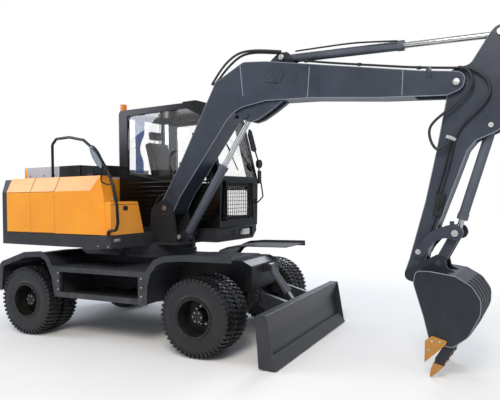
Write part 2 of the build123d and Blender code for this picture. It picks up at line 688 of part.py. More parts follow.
with BuildPart() as cab_shell:
    plate(cab_outline, cab_middle, cab_width, parked)
    plate(cab_inside, cab_middle, cab_width - 2 * cab_wall, parked, Mode.SUBTRACT)
    plate(right_window, cab_right_y + skin_y, cab_wall + 2, parked, Mode.SUBTRACT)
    plate(quarter_window, cab_left_y - skin_y, cab_wall + 2, parked, Mode.SUBTRACT)
    plate(door_outline, cab_left_y - skin_y, cab_wall + 2, parked, Mode.SUBTRACT)
    front_face(windscreen, 300, 700, Mode.SUBTRACT)
    front_face(low_window, 600, 400, Mode.SUBTRACT)
    front_face(rear_window, cab_rear_x - 1, cab_wall + 2, Mode.SUBTRACT)
    for z in hinge_heights:
        hinge_fork(z)
    box((300, 190, cab_top - 1), (520, 560, cab_top + 26), parked)
    box((420, 190, cab_top - 60), (520, 560, cab_top + 20), parked)
cab_shell.part.label = "cab_shell"
export_step(cab_shell.part, "parts/cab_shell.step")

with BuildPart() as cab_door:
    plate(door_outline, cab_left_y - skin_y, cab_wall, parked, grow=-panel_gap)
    for window in (door_window, door_low_window):
        plate(window, cab_left_y - skin_y, cab_wall + 2, parked, Mode.SUBTRACT)
    for z in hinge_heights:
        low_corner = (hinge_x, cab_left_y, z - knuckle_half)
        box(low_corner, (hinge_x + 60, hinge_y - 4, z + knuckle_half), parked)
        with Locations(parked * Location((hinge_x, hinge_y, z))):
            Cylinder(hinge_radius, 2 * knuckle_half)
            Cylinder(hinge_pin + pin_play, 2 * knuckle_half + 2, mode=Mode.SUBTRACT)
cab_door.part.label = "cab_door"
export_step(cab_door.part, "parts/cab_door.step")

with BuildPart() as door_glass:
    for window in (door_window, door_low_window):
        plate(window, cab_left_y - skin_y, pane, parked, grow=-seat_gap)
door_glass.part.label = "door_glass"
export_step(door_glass.part, "parts/door_glass.step")

screen_lean = [(898, 1975, 0), (892, 1975, 0), (682, 2800, 0), (688, 2800, 0)]
with BuildPart() as cab_glass:
    plate(right_window, cab_right_y + skin_y, pane, parked, grow=-seat_gap)
    plate(quarter_window, cab_left_y - skin_y, pane, parked, grow=-seat_gap)
    plate(screen_lean, cab_middle, cab_width - 2 * post - 2 * seat_gap, parked)
    front_face(low_window, 888, pane, grow=-seat_gap)
    front_face(rear_window, cab_rear_x + skin_y, pane, grow=-seat_gap)
cab_glass.part.label = "cab_glass"
export_step(cab_glass.part, "parts/cab_glass.step")

seat_y = 600
with BuildPart() as seat:
    cushion = [(-420, 1826.3, 30), (-420, 1925, 30), (80, 1950, 45), (80, 1846, 45), (30, 1826.3, 0)]
    backrest = [(-435, 1924.6, 40), (-575, 2500, 30), (-460, 2530, 30), (-300, 1931.3, 40)]
    headrest = [(-565, 2535, 40), (-590, 2670, 40), (-500, 2690, 40), (-465, 2560, 40)]
    plate(cushion, seat_y, 480, parked)
    plate(backrest, seat_y, 460, parked)
    plate(headrest, seat_y, 260, parked)
    for s in (-1, 1):
        box((-520, seat_y + s * 55 - 8, 2517), (-504, seat_y + s * 55 + 8, 2570), parked)
seat.part.label = "seat"
export_step(seat.part, "parts/seat.step")

with BuildPart() as seat_base:
    floor = platform_top + cab_wall + seat_gap
    box((-380, seat_y - 180, floor), (40, seat_y + 180, 1826), parked)
    for s in (-1, 1):
        pod = [(-340, 1826, 10), (-340, 2010, 40), (60, 2010, 25), (60, 1950, 25), (-160, 1826, 10)]
        plate(pod, seat_y + s * 310, 90, parked)
        box((-340, seat_y + s * 222 - 44, 1740), (-160, seat_y + s * 222 + 44, 1826), parked)
        box((-340, seat_y + s * 310 - 45, 1740), (-160, seat_y + s * 310 + 45, 1830), parked)
seat_base.part.label = "seat_base"
export_step(seat_base.part, "parts/seat_base.step")

with BuildPart() as steering_column:
    column = [(570, floor, 0), (425, 2050, 15), (495, 2075, 15), (700, floor, 0)]
    plate(column, seat_y, 90, parked)
    with Locations(parked * Location((452, seat_y, 2075), (0, -24, 0))):
        Torus(165, 15)
        Cylinder(40, 60)
        Box(330, 26, 16)
steering_column.part.label = "steering_column"
export_step(steering_column.part, "parts/steering_column.step")

with BuildPart() as curtain:
    box((-772, 380, 2060), (-748, 480, cab_top - cab_wall - seat_gap), parked)
curtain.part.label = "curtain"
export_step(curtain.part, "parts/curtain.step")

# Mesh guard over the lower front window
guard_x, guard_low, guard_high = 930, (253, 1400), (915, 1900)
with BuildPart() as front_guard:
    bar, wire = 24, 6
    for y in (guard_low[0], guard_high[0]):
        box((guard_x, y - bar / 2, guard_low[1]), (guard_x + bar, y + bar / 2, guard_high[1]), parked)
    for z in (guard_low[1], guard_high[1]):
        box((guard_x, guard_low[0], z - bar / 2), (guard_x + bar, guard_high[0], z + bar / 2), parked)
    columns, rows = 14, 10
    for i in range(1, columns):
        y = guard_low[0] + i * (guard_high[0] - guard_low[0]) / columns
        box((guard_x + 9, y - wire / 2, guard_low[1]), (guard_x + 15, y + wire / 2, guard_high[1]), parked)
    for i in range(1, rows):
        z = guard_low[1] + i * (guard_high[1] - guard_low[1]) / rows
        box((guard_x + 9, guard_low[0], z - wire / 2), (guard_x + 15, guard_high[0], z + wire / 2), parked)
    for y in (guard_low[0], guard_high[0]):
        for z in (guard_low[1] + 60, guard_high[1] - 60):
            face = 905 + 20 * (z + 12 - platform_top) / (1930 - platform_top)
            box((face + seat_gap, y - 12, z - 12), (guard_x, y + 12, z + 12), parked)
front_guard.part.label = "front_guard"
export_step(front_guard.part, "parts/front_guard.step")

with BuildPart() as mirrors:
    stem = [
        (916, 1030, 1618), (960, 1030, 1618), (945, 1205, 1700), (925, 1205, 1850), (925, 1150, 2000),
        (925, 1120, 2200), (915, 1050, 2345),
    ]
    with BuildLine(parked) as stem_line:
        FilletPolyline(*stem, radius=25)
    with BuildSketch(Plane(origin=stem_line.line @ 0, z_dir=stem_line.line % 0)) as stem_end:
        Circle(10)
    sweep(stem_end.sketch, path=stem_line.line)
    with BuildSketch(put(Plane.YZ.offset(905), parked)) as glass_case:
        Polygon((868, 2560), (895, 2640), (950, 2620), (1075, 2370), (1050, 2328), (960, 2345), align=None)
    extrude(glass_case.sketch, amount=20)
    box((915, 1110, 1885), (935, 1185, 2070), parked)
    with Locations(parked * Location((930, 1132, 2167), (0, 90, 0))):
        Cylinder(60, 40)
mirrors.part.label = "mirrors"
export_step(mirrors.part, "parts/mirrors.step")

with BuildPart() as beacon:
    with Locations(parked * Location((-780, 200, cab_top + seat_gap + 45))):
        Cylinder(48, 90)
beacon.part.label = "beacon"
export_step(beacon.part, "parts/beacon.step")

with BuildPart() as headlamp:
    lens_x = deck_front_x - lamp_recess + seat_gap
    box((lens_x, 760, 1182), (lens_x + 55, 900, 1262), parked)
headlamp.part.label = "headlamp"
export_step(headlamp.part, "parts/headlamp.step")

# Boom: a bent box with a fork at the nose and cheeks for its cylinder
ram_slot = 215
with BuildPart() as boom:
    outline = [
        (215, 1600, 90), (330, 1760, 200), (558, 2113, 400), (969, 2819, 400), (1112, 3070, 120),
        (1504, 3262, 120), (1806, 3229, 400), (3512, 2901, 400), (3925, 2840, 75), (3905, 2690, 85),
        (3762, 2640, 60), (3540, 2655, 200), (3116, 2685, 300), (2349, 2765, 600), (1800, 2790, 200),
        (1430, 2739, 400), (1279, 2626, 400), (551, 1711, 300), (420, 1490, 90), (300, 1450, 90),
    ]
    plate(outline, boom_y, 2 * boom_half, parked)
    cheek = [
        (1340, 2700, 0), (1374, 2680, 0), (1470, 2600, 60), (1565, 2571, 60), (1673, 2599, 60),
        (1832, 2683, 0), (1979, 2775, 0), (1700, 2850, 0),
    ]
    cheek_y = ram_eye_width / 2 + side_play + 28
    for s in (-1, 1):
        plate(cheek, boom_y + s * cheek_y, 56, parked)
        cross_bar(boom_ram_pin, boom_y + s * (cheek_y + 28 + 8), foot_pin - 8, 16, parked)
    cross_bar(boom_ram_pin, boom_y, ram_slot, ram_eye_width + 2 * side_play, parked, Mode.SUBTRACT)
    fork = [(3440, 2560, 0), (3440, 3000, 0), (4000, 3000, 0), (4000, 2560, 0)]
    plate(fork, boom_y, 2 * nose_fork_half, parked, Mode.SUBTRACT)
    cross_bar(boom_nose, boom_y, foot_pin, 2 * (boom_half + 12), parked)
    trim = 2 * (boom_half - boom_foot_half)
    for s in (-1, 1):
        with Locations(parked * Location((boom_foot[0], boom_y + s * boom_half, boom_foot[1]))):
            Cylinder(230, trim, rotation=(90, 0, 0), mode=Mode.SUBTRACT)
    cross_bar(boom_foot, boom_y, foot_pin + pin_play, 2 * boom_half, parked, Mode.SUBTRACT)
    lug = [(1770, 3200, 0), (1925, 3315, 60), (2060, 3320, 60), (2160, 3120, 0)]
    for s in (-1, 1):
        plate(lug, boom_y + s * ear_y, ear_thickness, parked)
    cross_bar(arm_ram_base, boom_y, foot_pin - 8, 2 * (ear_y + ear_thickness / 2 + 8), parked)
boom.part.label = "boom"
export_step(boom.part, "parts/boom.step")

boom_ram = ram_plane(boom_ram_base, boom_ram_pin, boom_y, parked)
with BuildPart() as boom_cylinder_barrel:
    ram_barrel(boom_ram, 62, foot_pin - 8, 55, 33, 1055)
boom_cylinder_barrel.part.label = "boom_cylinder_barrel"
export_step(boom_cylinder_barrel.part, "parts/boom_cylinder_barrel.step")

with BuildPart() as boom_cylinder_rod:
    ram_rod(boom_ram, 33, 560, distance(boom_ram_base, boom_ram_pin), 60, ram_eye_width)
boom_cylinder_rod.part.label = "boom_cylinder_rod"
export_step(boom_cylinder_rod.part, "parts/boom_cylinder_rod.step")

# Arm: a tapered box that hangs in the boom's fork
with BuildPart() as arm:
    outline = [
        (4140, 3185, 70), (4218, 3260, 70), (4300, 3185, 70), (4310, 2900, 200), (4240, 2480, 120),
        (4215, 2290, 75), (4100, 2240, 60), (4000, 2200, 60), (3925, 2110, 100), (3815, 1813, 300),
        (3655, 1400, 400), (3550, 1130, 200), (3490, 860, 80), (3350, 830, 80), (3335, 930, 60),
        (3384, 1068, 200), (3545, 1643, 400), (3650, 2114, 400), (3754, 2646, 60), (3720, 2760, 100),
        (3790, 2880, 100), (3960, 2910, 100),
    ]
    plate(outline, boom_y, 2 * arm_half, parked)
    cross_bar(boom_nose, boom_y, foot_pin + pin_play, 2 * arm_half, parked, Mode.SUBTRACT)
    cross_bar(arm_ram_pin, boom_y, ram_slot, ram_eye_width + 2 * side_play, parked, Mode.SUBTRACT)
    for s in (-1, 1):
        cross_bar(arm_ram_pin, boom_y + s * (arm_half + 6), foot_pin - 8, 12, parked)
    head_gap = [(3960, 2050, 0), (4050, 2460, 60), (4340, 2460, 0), (4340, 2050, 0)]
    plate(head_gap, boom_y, ram_eye_width + 2 * side_play, parked, Mode.SUBTRACT)
    cross_bar(bucket_ram_base, boom_y, small_pin, 2 * (arm_half + 8), parked)
    rocker_inner = rocker_y - rocker_thickness / 2
    cross_bar(rocker_pin, boom_y, small_pin, 2 * (rocker_inner + rocker_thickness + 8), parked)
    cross_bar(rocker_pin, boom_y, small_pin + 14, 2 * (rocker_inner - side_play), parked)
    cross_bar(bucket_pin, boom_y, small_pin + 4 + pin_play, 2 * arm_half, parked, Mode.SUBTRACT)
arm.part.label = "arm"
export_step(arm.part, "parts/arm.step")

arm_ram = ram_plane(arm_ram_base, arm_ram_pin, boom_y, parked)
with BuildPart() as arm_cylinder_barrel:
    ram_barrel(arm_ram, 60, foot_pin - 8, 48, 30, distance(arm_ram_base, (3326, 3207)))
arm_cylinder_barrel.part.label = "arm_cylinder_barrel"
export_step(arm_cylinder_barrel.part, "parts/arm_cylinder_barrel.step")

with BuildPart() as arm_cylinder_rod:
    ram_rod(arm_ram, 30, 1040, distance(arm_ram_base, arm_ram_pin), 58, ram_eye_width)
arm_cylinder_rod.part.label = "arm_cylinder_rod"
export_step(arm_cylinder_rod.part, "parts/arm_cylinder_rod.step")

bucket_ram = ram_plane(bucket_ram_base, link_top, boom_y, parked)
bucket_ram_reach = distance(bucket_ram_base, link_top)
with BuildPart() as bucket_cylinder_barrel:
    ram_barrel(bucket_ram, 55, small_pin, 46, 28, 915)
bucket_cylinder_barrel.part.label = "bucket_cylinder_barrel"
export_step(bucket_cylinder_barrel.part, "parts/bucket_cylinder_barrel.step")

rod_eye_half = 35
with BuildPart() as bucket_cylinder_rod:
    ram_rod(bucket_ram, 28, 240, bucket_ram_reach, 48, 2 * rod_eye_half)
bucket_cylinder_rod.part.label = "bucket_cylinder_rod"
export_step(bucket_cylinder_rod.part, "parts/bucket_cylinder_rod.step")

# Rocker: a pair of bent plates outside the arm and the bucket's ears
pin_inner = rod_eye_half + side_play
stub_outer = rocker_inner - side_play
rocker_outline = [
    (3445, 1175, 30), (3436, 1115, 40), (3490, 1088, 40), (3545, 1118, 30), (3578, 1180, 200),
    (3641, 1254, 60), (3700, 1285, 60), (3777, 1285, 0), (3860, 1262, 50), (3898, 1330, 55),
    (3870, 1400, 50), (3810, 1412, 40), (3688, 1391, 60), (3600, 1346, 60), (3521, 1258, 100),
]
with BuildPart() as rocker:
    for s in (-1, 1):
        middle = boom_y + s * rocker_y
        plate(rocker_outline, middle, rocker_thickness, parked)
        cross_bar(rocker_pin, middle, small_pin + pin_play, rocker_thickness + 2, parked, Mode.SUBTRACT)
        cross_bar(link_top, middle + s * (rocker_thickness / 2 + 4), small_pin + 10, 8, parked)
    stop = [(3774, 1390, 0), (3774, 1449, 5), (3813, 1449, 5), (3813, 1390, 0)]
    plate(stop, boom_y - rocker_y, rocker_thickness, parked)
rocker.part.label = "rocker"
export_step(rocker.part, "parts/rocker.step")

# Link: hinged on the bucket's ears, with a fork round the rod's eye at its top
link_plane = ram_plane(link_low, link_top, boom_y, parked)
link_length = distance(link_top, link_low)
with BuildPart() as link:
    for s in (-1, 1):
        with BuildSketch(link_plane.offset(s * (pin_inner + 21))) as fork_face:
            with Locations((link_length / 2, 0)):
                SlotCenterToCenter(link_length, 92)
        extrude(fork_face.sketch, amount=18, both=True)
        stub_inner = pin_inner + 30
        middle = (stub_inner + stub_outer) / 2
        cross_bar(link_top, boom_y + s * middle, small_pin, stub_outer - stub_inner, parked)
    cross_bar(link_low, boom_y, small_pin, 2 * bucket_pins_half, parked)
    with Locations(link_plane):
        Cylinder(46, 2 * arm_half)
        with Locations((90, 0, 0)):
            Box(70, 60, 2 * pin_inner + 10)
link.part.label = "link"
export_step(link.part, "parts/link.step")

# Bucket: a curved shell between two side plates, with ears for the arm and the link
side_outline = [
    (3480, 867, 40), (3572, 560, 0), (3625, 330, 0), (3826, 309, 60), (3960, 420, 150), (4063, 631, 150),
    (4069, 760, 120), (3990, 880, 120), (3850, 960, 80), (3620, 990, 60), (3500, 985, 50),
]
hollow_outline = [
    (3440, 905, 0), (3545, 560, 0), (3590, 335, 0), (3820, 335, 50), (3938, 435, 140), (4037, 640, 140),
    (4043, 752, 110), (3972, 858, 110), (3840, 935, 60), (3640, 960, 40), (3520, 955, 20),
]
bucket_ear_y = arm_half + side_play + ear_thickness / 2
tooth_count = 4
tooth_step = (bucket_width - 90) / (tooth_count - 1)
with BuildPart() as bucket:
    plate(side_outline, boom_y, bucket_width, parked)
    plate(hollow_outline, boom_y, bucket_width - 50, parked, Mode.SUBTRACT)
    ear = [
        (3340, 860, 60), (3340, 960, 60), (3440, 1010, 60), (3600, 1100, 60), (3720, 1110, 55),
        (3740, 1000, 50), (3860, 945, 0), (3820, 900, 0), (3640, 930, 0), (3510, 930, 0), (3470, 850, 50),
    ]
    for s in (-1, 1):
        ear_middle = boom_y + s * bucket_ear_y
        plate(ear, ear_middle, ear_thickness, parked)
        bore = small_pin + pin_play
        cross_bar(link_low, ear_middle, bore, ear_thickness + 2, parked, Mode.SUBTRACT)
    cross_bar(bucket_pin, boom_y, 195, 2 * (arm_half + side_play), parked, Mode.SUBTRACT)
    cross_bar(bucket_pin, boom_y, small_pin + 4, 2 * bucket_pins_half, parked)
    lip = [(3625, 330, 0), (3640, 345, 0), (3828, 345, 0), (3835, 304, 0), (3745, 296, 0)]
    plate(lip, boom_y, bucket_width, parked)
    adapter = [(3835, 304, 0), (3737, 128, 0), (3661, 143, 0), (3669, 191, 20), (3735, 300, 0)]
    for i in range(tooth_count):
        plate(adapter, boom_y + (i - (tooth_count - 1) / 2) * tooth_step, 60, parked)
bucket.part.label = "bucket"
export_step(bucket.part, "parts/bucket.step")

# Ground tools: tips on the adapters and a cutter on each side plate
with BuildPart() as bucket_teeth:
    tooth = [(3652, 144.4, 0), (3748, 125.4, 0), (3700, 70, 0), (3636, 12, 0), (3616, 12, 0), (3628, 80, 0)]
    for i in range(tooth_count):
        plate(tooth, boom_y + (i - (tooth_count - 1) / 2) * tooth_step, 66, parked)
    cutter = [(3585, 348, 8), (3648, 398, 15), (3784, 364, 12), (3764, 326, 12), (3579, 145, 0)]
    for s in (-1, 1):
        plate(cutter, boom_y + s * (bucket_width / 2 + seat_gap + 10), 20, parked)
bucket_teeth.part.label = "bucket_teeth"
export_step(bucket_teeth.part, "parts/bucket_teeth.step")
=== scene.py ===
import bmesh
import bpy
from math import cos, pi, radians, sin, tan
from mathutils import Matrix, Vector


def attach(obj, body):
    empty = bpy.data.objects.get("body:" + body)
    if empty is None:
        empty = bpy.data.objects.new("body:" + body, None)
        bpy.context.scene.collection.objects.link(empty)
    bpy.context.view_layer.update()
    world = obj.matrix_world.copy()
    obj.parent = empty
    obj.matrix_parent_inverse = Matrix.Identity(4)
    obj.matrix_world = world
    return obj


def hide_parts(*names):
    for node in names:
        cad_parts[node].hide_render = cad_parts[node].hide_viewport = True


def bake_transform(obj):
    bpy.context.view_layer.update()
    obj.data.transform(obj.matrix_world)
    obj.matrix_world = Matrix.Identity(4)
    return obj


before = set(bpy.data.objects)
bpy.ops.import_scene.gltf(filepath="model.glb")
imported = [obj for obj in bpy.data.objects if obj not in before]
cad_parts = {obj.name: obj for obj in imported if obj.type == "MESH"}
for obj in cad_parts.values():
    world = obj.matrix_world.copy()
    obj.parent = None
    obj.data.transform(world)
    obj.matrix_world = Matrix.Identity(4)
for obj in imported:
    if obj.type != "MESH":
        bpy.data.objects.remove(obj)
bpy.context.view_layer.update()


# The yard: a pale smooth floor, an overcast white sky and a camera at a standing person's
# eye height beside the blade. The sky is soft and slightly blue, with one warm lamp and two cool.
def colour(code):
    """An sRGB hex value as the linear colour that a shader takes."""
    out = []
    for start in (0, 2, 4):
        value = int(code[start : start + 2], 16) / 255
        out.append(value / 12.92 if value <= 0.04045 else ((value + 0.055) / 1.055) ** 2.4)
    return (*out, 1.0)


def add_node(tree, kind, values=(), links=(), **settings):
    """Adds a shader node: its settings, the values of its sockets and what is linked to them."""
    node = tree.nodes.new("ShaderNode" + kind)
    for name, value in settings.items():
        setattr(node, name, value)
    for socket, value in dict(values).items():
        node.inputs[socket].default_value = value
    for socket, source in dict(links).items():
        tree.links.new(source, node.inputs[socket])
    return node


def looked_at(tree):
    """1 for rays from the camera or through glass, 0 for the light that lamps and sky give."""
    path = add_node(tree, "LightPath").outputs
    kinds = {0: path["Is Camera Ray"], 1: path["Is Transmission Ray"]}
    return add_node(tree, "Math", links=kinds, operation="MAXIMUM").outputs[0]


def start_material(name, sockets=()):
    """A material with its tree, its shader with some sockets set, and the object's coordinates."""
    material = bpy.data.materials.new(name)
    material.use_nodes = True
    tree = material.node_tree
    shader = tree.nodes["Principled BSDF"]
    for socket, value in dict(sockets).items():
        shader.inputs[socket].default_value = value
    return material, tree, shader, add_node(tree, "TexCoord").outputs["Object"]


camera_data = bpy.data.cameras.new("camera")
camera_data.sensor_width = 36
camera_data.lens = 38.48
camera = bpy.data.objects.new("camera", camera_data)
heading, pitch, roll = radians(26.755), radians(-0.44), radians(-0.733)
ahead = Vector((-sin(heading) * cos(pitch), cos(heading) * cos(pitch), sin(pitch)))
level = Vector((cos(heading), sin(heading), 0))
right = cos(roll) * level + sin(roll) * level.cross(ahead)
aim = Matrix((right, right.cross(ahead), -ahead)).transposed().to_4x4()
camera.matrix_world = Matrix.Translation((4.336, -5.837, 1.711)) @ aim
bpy.context.scene.collection.objects.link(camera)
bpy.context.scene.camera = camera
bpy.context.scene.view_settings.view_transform = "Standard"

world = bpy.data.worlds.new("sky")
world.use_nodes = True
bpy.context.scene.world = world
sky = world.node_tree
soft_sky = add_node(sky, "Background", {"Color": colour("E6ECF5"), "Strength": 0.66})
white_sky = add_node(sky, "Background", {"Color": (1, 1, 1, 1), "Strength": 1.0})
both = add_node(
    sky, "MixShader", links={0: looked_at(sky), 1: soft_sky.outputs[0], 2: white_sky.outputs[0]}
)
sky.links.new(both.outputs[0], sky.nodes["World Output"].inputs[0])

for name, place, target, size, power, tint in (
    ("key", (3.5, -7.5, 7.5), (0.8, 0, 1.4), 4.0, 620, "FFF6EA"),
    ("fill", (-6.5, -4.0, 5.0), (0, 0, 1.4), 4.0, 200, "EEF3FF"),
    ("rim", (1.0, 8.0, 6.0), (0.5, 0, 1.4), 4.0, 320, "EEF3FF"),
):
    lamp_data = bpy.data.lights.new(name, "AREA")
    lamp_data.shape = "DISK"
    lamp_data.size = size
    lamp_data.energy = power
    lamp_data.color = colour(tint)[:3]
    lamp = bpy.data.objects.new(name, lamp_data)
    lamp.location = place
    lamp.rotation_euler = (Vector(target) - Vector(place)).to_track_quat("-Z", "Y").to_euler()
    bpy.context.scene.collection.objects.link(lamp)

floor_mesh = bpy.data.meshes.new("yard_floor")
floor = bpy.data.objects.new("yard_floor", floor_mesh)
bm = bmesh.new()
bmesh.ops.create_grid(bm, x_segments=1, y_segments=1, size=40)
bm.to_mesh(floor_mesh)
bm.free()
bpy.context.scene.collection.objects.link(floor)
concrete, tree, shade, where = start_material("floated_concrete", {"Roughness": 0.9})
cloud = add_node(tree, "TexNoise", {"Scale": 1.2, "Detail": 3}, {"Vector": where})
pale = add_node(
    tree, "Mix", {6: colour("F2F2F2"), 7: colour("EAEAEA")}, {0: cloud.outputs["Fac"]}, data_type="RGBA"
)
tree.links.new(pale.outputs[2], shade.inputs["Base Color"])
# the floor takes the machine's shadow, and past some metres it is as white as the sky
off = add_node(tree, "VectorMath", links={0: where}, operation="LENGTH")
far = add_node(tree, "MapRange", {"From Min": 2.6, "From Max": 6.0}, {"Value": off.outputs["Value"]})
amount = add_node(tree, "Math", links={0: far.outputs[0], 1: looked_at(tree)}, operation="MULTIPLY")
plain = add_node(tree, "Emission", {"Color": (1, 1, 1, 1), "Strength": 1.0})
both = add_node(
    tree, "MixShader", links={0: amount.outputs[0], 1: shade.outputs[0], 2: plain.outputs[0]}
)
tree.links.new(both.outputs[0], tree.nodes["Material Output"].inputs[0])
floor_mesh.materials.append(concrete)


# Undercarriage: a welded box frame in dark semi-gloss enamel, dusty towards the road. Its
# travel gearbox hangs under the middle, with a propeller shaft to each axle.
GROUND = Matrix.Scale(0.001, 4)
PARKED = Matrix.Rotation(radians(-4.3), 4, "Z") @ GROUND
WHEEL_Z = 430
AXLES = (("front", 1270), ("rear", -1223))
SIDES = (("right", -1), ("left", 1))


def enamel(name, fresh, faded, dust, roughness=0.38, dusty_to=1.3, dusty=0.55, shine=0.3):
    """Sprayed enamel on steel: faint orange peel, slow fading, and road dust low down."""
    material, tree, shader, place = start_material(name, {"Specular IOR Level": shine})
    # fading in patches of about half a metre
    patch = add_node(tree, "TexNoise", {"Scale": 2.2, "Detail": 4, "Roughness": 0.6}, {"Vector": place})
    spread = add_node(
        tree, "MapRange", {"From Min": 0.35, "From Max": 0.65}, {"Value": patch.outputs["Fac"]}
    )
    body = add_node(
        tree, "Mix", {6: colour(fresh), 7: colour(faded)}, {0: spread.outputs[0]}, data_type="RGBA"
    )
    # dust streaks a few centimetres wide, drawn out downwards, thicker near the road
    squeeze = add_node(tree, "Mapping", {"Scale": (1, 1, 0.25)}, {"Vector": place})
    streak = add_node(
        tree, "TexNoise", {"Scale": 22, "Detail": 6, "Roughness": 0.65}, {"Vector": squeeze.outputs[0]}
    )
    height = add_node(tree, "SeparateXYZ", links={0: place})
    low = add_node(
        tree,
        "MapRange",
        {"From Min": 0.15, "From Max": dusty_to, "To Min": dusty, "To Max": 0.04},
        {"Value": height.outputs["Z"]},
    )
    cover = add_node(
        tree, "MapRange", {"From Min": 0.38, "From Max": 0.75}, {"Value": streak.outputs["Fac"]}
    )
    amount = add_node(tree, "Math", links={0: low.outputs[0], 1: cover.outputs[0]}, operation="MULTIPLY")
    whole = add_node(
        tree, "Mix", {7: colour(dust)}, {0: amount.outputs[0], 6: body.outputs[2]}, data_type="RGBA"
    )
    tree.links.new(whole.outputs[2], shader.inputs["Base Color"])
    ends = {"To Min": roughness - 0.06, "To Max": roughness + 0.2}
    gloss = add_node(tree, "MapRange", ends, {"Value": amount.outputs[0]})
    tree.links.new(gloss.outputs[0], shader.inputs["Roughness"])
    # orange peel about 5 mm across
    peel = add_node(tree, "TexNoise", {"Scale": 200, "Detail": 1}, {"Vector": place})
    relief = add_node(
        tree, "Bump", {"Strength": 0.12, "Distance": 0.0006}, {"Height": peel.outputs["Fac"]}
    )
    tree.links.new(relief.outputs[0], shader.inputs["Normal"])
    return material


def dress(material, *nodes):
    """Gives CAD nodes a material, in each slot they have."""
    for name in nodes:
        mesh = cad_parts[name].data
        if not mesh.materials:
            mesh.materials.append(material)
        for slot in range(len(mesh.materials)):
            mesh.materials[slot] = material


def soften(bm, edges, width, segments, clamp=False):
    """Rounds edges off by a width in millimetres."""
    how = {"affect": "EDGES", "profile": 0.5, "material": -1, "clamp_overlap": clamp}
    bmesh.ops.bevel(bm, geom=list(edges), offset=width, segments=segments, **how)


def block(bm, low, high, edge=3, segments=2):
    """A block between two corners in millimetres, with rounded edges."""
    made = bmesh.ops.create_cube(bm, size=1)["verts"]
    size = [b - a for a, b in zip(low, high)]
    bmesh.ops.scale(bm, vec=size, verts=made)
    bmesh.ops.translate(bm, vec=[(a + b) / 2 for a, b in zip(low, high)], verts=made)
    if edge:
        edges = {e for v in made for e in v.link_edges}
        soften(bm, edges, min(edge, 0.45 * min(size)), segments, True)


def rod(bm, start, end, radius, sides=20, tip=None, edge=0):
    """A round or many-sided bar between two points in millimetres."""
    start, end = Vector(start), Vector(end)
    run = end - start
    turn = run.to_track_quat("Z", "Y").to_matrix().to_4x4()
    made = bmesh.ops.create_cone(
        bm,
        cap_ends=True,
        segments=sides,
        radius1=radius,
        radius2=radius if tip is None else tip,
        depth=run.length,
        matrix=Matrix.Translation((start + end) / 2) @ turn,
    )["verts"]
    if edge:
        rims = [e for e in {e for v in made for e in v.link_edges} if len(e.link_faces) == 2]
        soften(bm, [e for e in rims if any(len(f.verts) > 4 for f in e.link_faces)], edge, 2)


def outline(bm, corners, y, thickness, edge=0):
    """A plate standing across y, cut to corners given as (x, z) in millimetres."""
    verts = [bm.verts.new((x, y - thickness / 2, z)) for x, z in corners]
    face = bm.faces.new(verts)
    out = bmesh.ops.extrude_face_region(bm, geom=[face])
    moved = [v for v in out["geom"] if isinstance(v, bmesh.types.BMVert)]
    bmesh.ops.translate(bm, vec=(0, thickness, 0), verts=moved)
    if edge:
        soften(bm, {e for v in verts + moved for f in v.link_faces for e in f.edges}, edge, 1)


def piece(name, bm, material, body, place=GROUND, sharp=32):
    """Makes the mesh an object in metres, with flat faces kept crisp.

    It rides on a body; where body is (first, second, start, end) it rides on none."""
    bmesh.ops.recalc_face_normals(bm, faces=bm.faces)
    for face in bm.faces:
        face.smooth = True
    for line in bm.edges:
        line.smooth = len(line.link_faces) == 2 and line.calc_face_angle(0) < radians(sharp)
    bm.transform(place)
    mesh = bpy.data.meshes.new(name)
    bm.to_mesh(mesh)
    bm.free()
    mesh.materials.append(material)
    made = bpy.data.objects.new(name, mesh)
    bpy.context.scene.collection.objects.link(made)
    if isinstance(body, tuple):
        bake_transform(made)
    else:
        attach(made, body)
    return made


chassis_enamel = enamel("chassis_enamel", "212327", "292B2F", "5E584F", 0.45, 1.0, 0.7)
dress(chassis_enamel, "chassis_frame", "swing_bearing")
bm = bmesh.new()
block(bm, (-330, -190, 345), (170, 190, 480), 45, 4)
block(bm, (-250, -230, 372), (60, 230, 470), 20)
rod(bm, (-330, 0, 398), (-372, 0, 398), 62, 28, edge=4)
rod(bm, (170, 0, 398), (212, 0, 398), 62, 28, edge=4)
for x in (-200, -80, 40):
    rod(bm, (x, -232, 420), (x, -246, 420), 12, 6)
    rod(bm, (x, 232, 420), (x, 246, 420), 12, 6)
piece("travel_gearbox", bm, chassis_enamel, "chassis")
bm = bmesh.new()
for start, end in ((212, 1130), (-372, -1083)):
    step = 1 if end > start else -1
    rod(bm, (start, 0, 398), (start + step * 70, 0, 398), 44, 24, 36, edge=3)
    rod(bm, (start + step * 70, 0, 398), (end - step * 70, 0, 395), 30, 24)
    rod(bm, (end - step * 70, 0, 395), (end, 0, 395), 34, 24, 44, edge=3)
    block(bm, (start + step * 70 - 22, -42, 380), (start + step * 70 + 22, 42, 416), 6)
    block(bm, (end - step * 90 - 22, -40, 377), (end - step * 90 + 22, 40, 413), 6)
piece("propeller_shafts", bm, chassis_enamel, "chassis")

# Swing bearing: a ring under the deck, held by a circle of hex bolts on the frame's pedestal.
# Its toothed race shows in the gap. The plated bolts of other pieces are of machined steel.
raw_steel, tree, shader, where = start_material("machined_steel", {"Metallic": 1.0})
